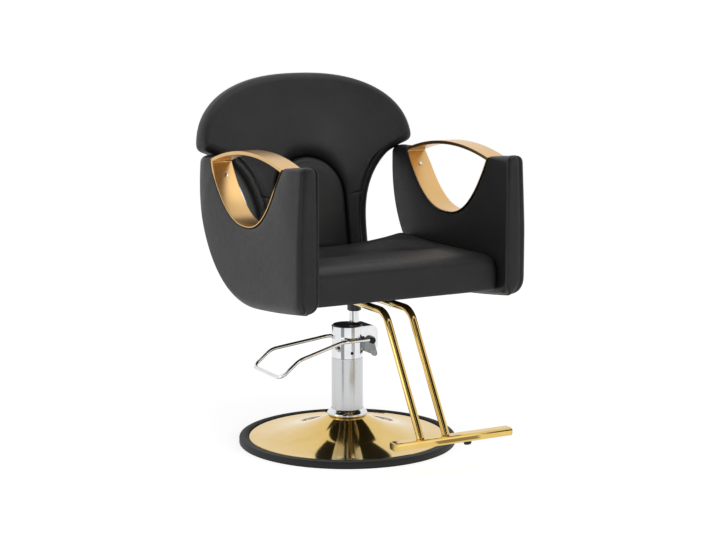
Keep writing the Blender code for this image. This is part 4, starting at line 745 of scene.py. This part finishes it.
stations = [k / (len(armEdge) - 1) for k in range(len(armEdge))]
first, final = liningEnd(0.0, 0.4), liningEnd(1.0, 0.6)
outLoop = [lining(share, railForm["gap"]) for share in stations]
inDepth = railForm["gap"] + railForm["sheet"]
inLoop = [lining(first + (final - first) * share, inDepth) for share in stations]
railEdges = [armFace(p.y) - railForm["setback"] for p in armEdge]
railFront, railRear = railEdges[-1], railEdges[0]
for loop, drop in ((outLoop, 0.0), (inLoop, railForm["arch"])):
    start, end = loop[-1].x, loop[0].x
    for k in range(1, railForm["archSteps"]):
        y = start + (end - start) * k / railForm["archSteps"]
        loop.append(Vector((y, archTop(y) - drop)))
railEdges += [railFront + (railRear - railFront) * k / railForm["archSteps"]
              for k in range(1, railForm["archSteps"])]
railLow = armForm["inner"] + railForm["setback"]
for side, sign in (("left", 1), ("right", -1)):
    rings = [[spot(sign * x, p.x, p.y) for p, x in railSection(a, b, railLow, high)]
             for a, b, high in zip(outLoop, inLoop, railEdges)]
    rail = skin("armRail_" + side, rings, brushedGold, "seat", loop=True,
                subdivision=0, hard=True)
    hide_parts("arm_rail_" + side)
print("rails made")


# base, column and collar, turned finer than the solids because they mirror the room

domeForm = {"rim": 0.0141, "rimRadius": 0.268, "neck": 0.050, "hole": 0.0428, "top": 0.073,
            "sheet": 0.0025, "flare": 2.1, "steps": 30, "sides": 128}
collarForm = {"width": 0.0115, "height": 0.019, "inner": 0.0428, "bead": 0.0055, "beadTurn": 0.78,
              "steps": 14}
sleeveForm = {"radius": 0.0425, "wall": 0.0025, "edge": 0.6 * mm}
ringForm = {"radius": 0.2925, "inner": 0.2683, "edge": 4 * mm, "steps": 5}


def turnedRing(name, profile, material, hard=False):   # (radius, height) profile, closed
    sides = domeForm["sides"]
    rings = []
    for k in range(sides):
        a = 2 * pi * k / sides
        rings.append([Vector((columnX + r * cos(a), chairY + r * sin(a), z)) for r, z in profile])
    return skin(name, rings, material, "base", loop=True, subdivision=0, hard=hard)


domeTop, domeUnder = [], []
for step in range(domeForm["steps"] + 1):
    share = step / domeForm["steps"]
    rise = (domeForm["top"] - domeForm["rim"] - domeForm["sheet"]) * share ** domeForm["flare"]
    r = domeForm["rimRadius"] + (domeForm["neck"] - domeForm["rimRadius"]) * share
    domeTop.append((r, domeForm["rim"] + domeForm["sheet"] + rise))
    domeUnder.append((max(r - 0.5 * domeForm["sheet"], domeForm["hole"] + mm), domeForm["rim"] + rise))
hole, top = domeForm["hole"], domeForm["top"]
profile = domeTop + [(hole + 0.5 * mm, top), (hole, top - 0.5 * mm), (hole, top - domeForm["sheet"])]
profile += domeUnder[::-1]
baseDome = turnedRing("baseDome", profile, polishedGold)
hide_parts("base_dome")

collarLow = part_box("column_collar")[0].z
bead = collarForm["bead"]                       # round bead below, a bevel above that mirrors the dark seat
profile = [(collarForm["inner"], collarLow)]
for step in range(collarForm["steps"] + 1):
    a = pi * (collarForm["beadTurn"] * step / collarForm["steps"] - 0.5)
    beadRadius = sleeveForm["radius"] + collarForm["width"] - bead + bead * cos(a)
    profile.append((beadRadius, collarLow + bead + bead * sin(a)))
profile += [(sleeveForm["radius"] + mm, collarLow + collarForm["height"]),
            (collarForm["inner"], collarLow + collarForm["height"])]
collar = turnedRing("columnCollar", profile, chrome)
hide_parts("column_collar")

sleeveLow, sleeveTop = (corner.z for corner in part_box("column_sleeve"))
outside, bevel = sleeveForm["radius"], sleeveForm["edge"]
inside = outside - sleeveForm["wall"]
profile = [(inside, sleeveLow), (outside, sleeveLow), (outside, sleeveTop - bevel),
           (outside - bevel, sleeveTop), (inside, sleeveTop)]
sleeve = turnedRing("columnSleeve", profile, satinAluminium, hard=True)
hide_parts("column_sleeve")

ringLow, ringTop = (corner.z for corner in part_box("base_rubber_ring"))
ringEdge = ringForm["edge"]
profile = [(ringForm["inner"], ringLow), (ringForm["radius"] - mm, ringLow),
           (ringForm["radius"], ringLow + mm)]
for step in range(ringForm["steps"] + 1):
    a = pi / 2 * step / ringForm["steps"]
    profile.append((ringForm["radius"] - ringEdge * (1 - cos(a)), ringTop - ringEdge * (1 - sin(a))))
profile.append((ringForm["inner"], ringTop))
rubberRing = turnedRing("baseRubberRing", profile, rubber, hard=True)
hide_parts("base_rubber_ring")
print("base made")


# bent tubes: footrest posts, pedal loop and plunger spring; then the stud under the footrest

tubeForm = {"sides": 20, "bendSteps": 8}
postForm = {"radius": 0.0098, "x": 0.037, "startY": -0.046, "z": -0.0164, "kneeY": -0.235, "bend": 0.055,
            "slope": radians(31.7), "footZ": -0.3107}
pedalForm = {"radius": 0.005, "start": (-0.012, 0.0486, 0.004), "knee": (-0.093, 0.0486, 0.004),
             "shoulder": (-0.239, 0.083, -0.023), "end": (-0.293, 0.083, -0.065),
             "kneeBend": 0.09, "shoulderBend": 0.05, "endBend": 0.022}


def bentPath(corners):                          # (point, bend radius) corners with each bend as an arc
    path = [corners[0][0]]
    for (before, _), (corner, radius), (after, _) in zip(corners, corners[1:], corners[2:]):
        back, ahead = (before - corner).normalized(), (after - corner).normalized()
        half = back.angle(ahead) / 2
        reach = radius / tan(half)
        centre = corner + (back + ahead).normalized() * radius / sin(half)
        a, b = corner + back * reach - centre, corner + ahead * reach - centre
        for k in range(tubeForm["bendSteps"] + 1):
            path.append(centre + a.normalized().slerp(b.normalized(), k / tubeForm["bendSteps"]) * radius)
    return path + [corners[-1][0]]


def tube(name, path, radius, material, body):
    rings = []
    side = None
    for k, p in enumerate(path):
        run = (path[min(k + 1, len(path) - 1)] - path[max(k - 1, 0)]).normalized()
        side = (side - run * side.dot(run)).normalized() if side else run.orthogonal().normalized()
        other = run.cross(side)
        turns = [2 * pi * j / tubeForm["sides"] for j in range(tubeForm["sides"])]
        rings.append([p + radius * (side * cos(t) + other * sin(t)) for t in turns])
    return skin(name, rings, material, body, subdivision=0, hard=True)


for side, sign in (("left", 1), ("right", -1)):
    x = sign * postForm["x"]
    drop = postForm["z"] - postForm["footZ"]
    knee = spot(x, postForm["kneeY"], postForm["z"])
    foot = spot(x, postForm["kneeY"] - drop * tan(postForm["slope"]), postForm["footZ"])
    start = spot(x, postForm["startY"], postForm["z"])
    path = bentPath([(start, 0), (knee, postForm["bend"]), (foot, 0)])
    post = tube("footrestPost_" + side, path, postForm["radius"], polishedGold, "seat")
    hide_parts("footrest_post_" + side)

pedalJoint = next(joint for joint in frame["joints"] if joint["name"] == "pedal_press")
pivot = Vector(pedalJoint["pos_m"])
corners = [(pedalForm["start"], 0), (pedalForm["knee"], pedalForm["kneeBend"]),
           (pedalForm["shoulder"], pedalForm["shoulderBend"]), (pedalForm["end"], pedalForm["endBend"])]
corners = [(Vector(p), bend) for p, bend in corners]
corners += [(Vector((p.x, -p.y, p.z)), bend) for p, bend in reversed(corners)]
path = bentPath([(pivot + p, bend) for p, bend in corners])
pedal = tube("pedalLoop", path, pedalForm["radius"], chrome, "pedal")
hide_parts("pedal_loop")

springForm = {"wire": 0.6 * mm, "radius": 4.2 * mm, "turns": 4, "steps": 16, "stroke": 4.8 * mm}
springLow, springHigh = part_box("plunger_spring")
middle = (springLow + springHigh) / 2
springLength = springHigh.z - springLow.z
springSteps = springForm["turns"] * springForm["steps"]
path = []
for k in range(springSteps + 1):
    a, r = 2 * pi * k / springForm["steps"], springForm["radius"]
    rise = springForm["wire"] + (springLength - 2 * springForm["wire"]) * k / springSteps
    path.append(Vector((middle.x + r * cos(a), middle.y + r * sin(a), springLow.z + rise)))
spring = tube("plungerSpring", path, springForm["wire"], zincSteel, "base")
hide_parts("plunger_spring")
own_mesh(spring)

studForm = {"x": 0.1016, "half": 0.0115, "depth": 0.0065, "height": 0.011, "gap": 0.2 * mm, "sides": 24}
barLow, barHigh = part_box("footrest_bar")
studY = (barLow.y + barHigh.y) / 2
rings = []
for height, share in ((0.0, 1.0), (0.6, 0.96), (0.9, 0.85), (1.0, 0.6)):
    turns = [2 * pi * j / studForm["sides"] for j in range(studForm["sides"])]
    half, depth = share * studForm["half"], share * studForm["depth"]
    z = barLow.z - studForm["gap"] - height * studForm["height"]
    rings.append([Vector((studForm["x"] + half * cos(t), studY + depth * sin(t), z)) for t in turns])
skin("footrestStud", rings, rubber, "seat", subdivision=0)
print("tubes made")


# studio: pale floor, soft light, camera where the photograph was taken

studio = {"floor": "#e6e6e6", "reach": 40.0, "ambient": 0.36, "floorGlow": 0.72, "cardTone": 0.12,
          "stripTone": 0.38, "roomTone": 0.02}


def addStage(name, points, shader, tree, material):
    addNode(tree, "ShaderNodeOutputMaterial", links={"Surface": shader})
    mesh = bpy.data.meshes.new(name)
    mesh.from_pydata(points, [], [(0, 1, 2, 3)])
    mesh.materials.append(material)
    panel = bpy.data.objects.new(name, mesh)
    bpy.context.scene.collection.objects.link(panel)
    return panel


def emptyMaterial(name):
    material = bpy.data.materials.new(name)
    material.use_nodes = True
    material.node_tree.nodes.clear()
    return material, material.node_tree


def seenDirectly(tree):                         # 1 for camera, mirror and glass rays, 0 for the rest
    rays = addNode(tree, "ShaderNodeLightPath")
    seen = addNode(tree, "ShaderNodeMath", operation="MAXIMUM",
                   links={0: rays.outputs["Is Camera Ray"], 1: rays.outputs["Is Glossy Ray"]})
    either = addNode(tree, "ShaderNodeMath", operation="MAXIMUM",
                     links={0: seen.outputs["Value"], 1: rays.outputs["Is Transmission Ray"]})
    return either.outputs["Value"]


def makeFloor():                                # pale floor that lifts to white and keeps the shadow
    material, tree = emptyMaterial("pale_studio_floor")
    paint = addNode(tree, "ShaderNodeBsdfDiffuse", {"Color": linear(studio["floor"])})
    strength = addNode(tree, "ShaderNodeMath", {1: studio["floorGlow"]}, {0: seenDirectly(tree)},
                       operation="MULTIPLY")
    glow = addNode(tree, "ShaderNodeEmission", links={"Strength": strength.outputs["Value"]})
    both = addNode(tree, "ShaderNodeAddShader",
                   links={0: paint.outputs["BSDF"], 1: glow.outputs["Emission"]})
    far = studio["reach"]
    corners = [(-far, -far, 0), (far, -far, 0), (far, far, 0), (-far, far, 0)]
    addStage("studioFloor", corners, both.outputs["Shader"], tree, material)


def darkCard(name, corners, toneName):          # not seen by the camera: only what shines mirrors it
    material, tree = emptyMaterial(name)
    tone = addNode(tree, "ShaderNodeEmission", {"Strength": studio[toneName]})
    card = addStage(name, corners, tone.outputs["Emission"], tree, material)
    card.visible_camera = card.visible_diffuse = card.visible_shadow = False


def bearing(radius, angle, z=2 * mm):           # place by distance and bearing from the origin
    return (radius * cos(radians(angle)), radius * sin(radians(angle)), z)


def makeWorld():
    world = bpy.data.worlds.new("studio")
    bpy.context.scene.world = world
    world.use_nodes = True
    tree = world.node_tree
    tree.nodes.clear()
    level = addNode(tree, "ShaderNodeMapRange", {"To Min": studio["ambient"], "To Max": 1.0},
                    {"Value": seenDirectly(tree)})
    sky = addNode(tree, "ShaderNodeBackground", {"Color": (1, 1, 1, 1)},
                  {"Strength": level.outputs["Result"]})
    addNode(tree, "ShaderNodeOutputWorld", links={"Surface": sky.outputs["Background"]})


def softbox(name, place, target, size, watts, spread):
    light = bpy.data.lights.new(name, "AREA")
    light.shape = "SQUARE"
    light.size = size
    light.energy = watts
    light.spread = radians(spread)
    lamp = bpy.data.objects.new(name, light)
    bpy.context.scene.collection.objects.link(lamp)
    lamp.location = place
    lamp.rotation_euler = (Vector(target) - Vector(place)).to_track_quat("-Z", "Y").to_euler()


makeFloor()
makeWorld()
cards = [                                       # name, tone and corners by (distance, bearing, height)
    ("cardFloor", "cardTone", [(2.3, -100), (2.3, -30), (7.0, -30), (7.0, -100)]),
    ("cardRoom", "roomTone", [(7.0, -114, 0.4), (7.0, -50, 0.4), (7.0, -50, 11.0), (7.0, -114, 11.0)]),
    ("cardCamera", "roomTone", [(7.0, -146, 0.4), (7.0, -121, 0.4), (7.0, -121, 11.0), (7.0, -146, 11.0)]),
    ("cardBehind", "roomTone", [(0.7, 70, 0.10), (0.7, 55, 0.10), (0.7, 47, 0.82), (0.7, 80, 0.82)]),
    ("cardStripRight", "stripTone", [(0.6, -76), (0.6, -66), (2.2, -66), (2.2, -76)]),
    ("cardStripLeft", "stripTone", [(0.6, -158), (0.6, -146), (3.0, -146), (3.0, -158)]),
]
for name, tone, corners in cards:
    darkCard(name, [bearing(*corner) for corner in corners], tone)
darkCard("cardRear", [(-0.87, 1.5, 2 * mm), (-0.22, 1.5, 2 * mm), (-2.14, 5.0, 2 * mm),
                      (-2.79, 5.0, 2 * mm)], "cardTone")
lights = [                                      # name, place, target, size, watts, spread in degrees
    ("keyLeft", (-3.6, 0.2, 0.75), (0, 0, 0.55), 1.2, 11, 180),
    ("topFill", (0.2, -1.2, 3.4), (0, 0, 0.5), 2.4, 16, 180),
    ("frontFill", (1.4, -4.4, 1.1), (0, 0, 0.6), 2.2, 21, 180),
    ("headFill", (0.5, -3.9, 1.2), (-0.1, 0.25, 0.9), 0.5, 0.16, 12),
]
for light in lights:
    softbox(*light)

cameraFit = {"place": (-2.3379, -4.2987, 1.2898), "turn": -0.5002, "dip": 0.1667, "lens": 93.17,
             "sensor": 36.0}
lens = bpy.data.cameras.new("photoCamera")
lens.lens = cameraFit["lens"]
lens.sensor_width = cameraFit["sensor"]
camera = bpy.data.objects.new("photoCamera", lens)
bpy.context.scene.collection.objects.link(camera)
camera.location = Vector(cameraFit["place"]) + Vector((0, chairY, 0))
camera.rotation_euler = (pi / 2 - cameraFit["dip"], 0, cameraFit["turn"])
bpy.context.scene.camera = camera
bpy.context.scene.view_settings.view_transform = "Standard"
print("studio ready")
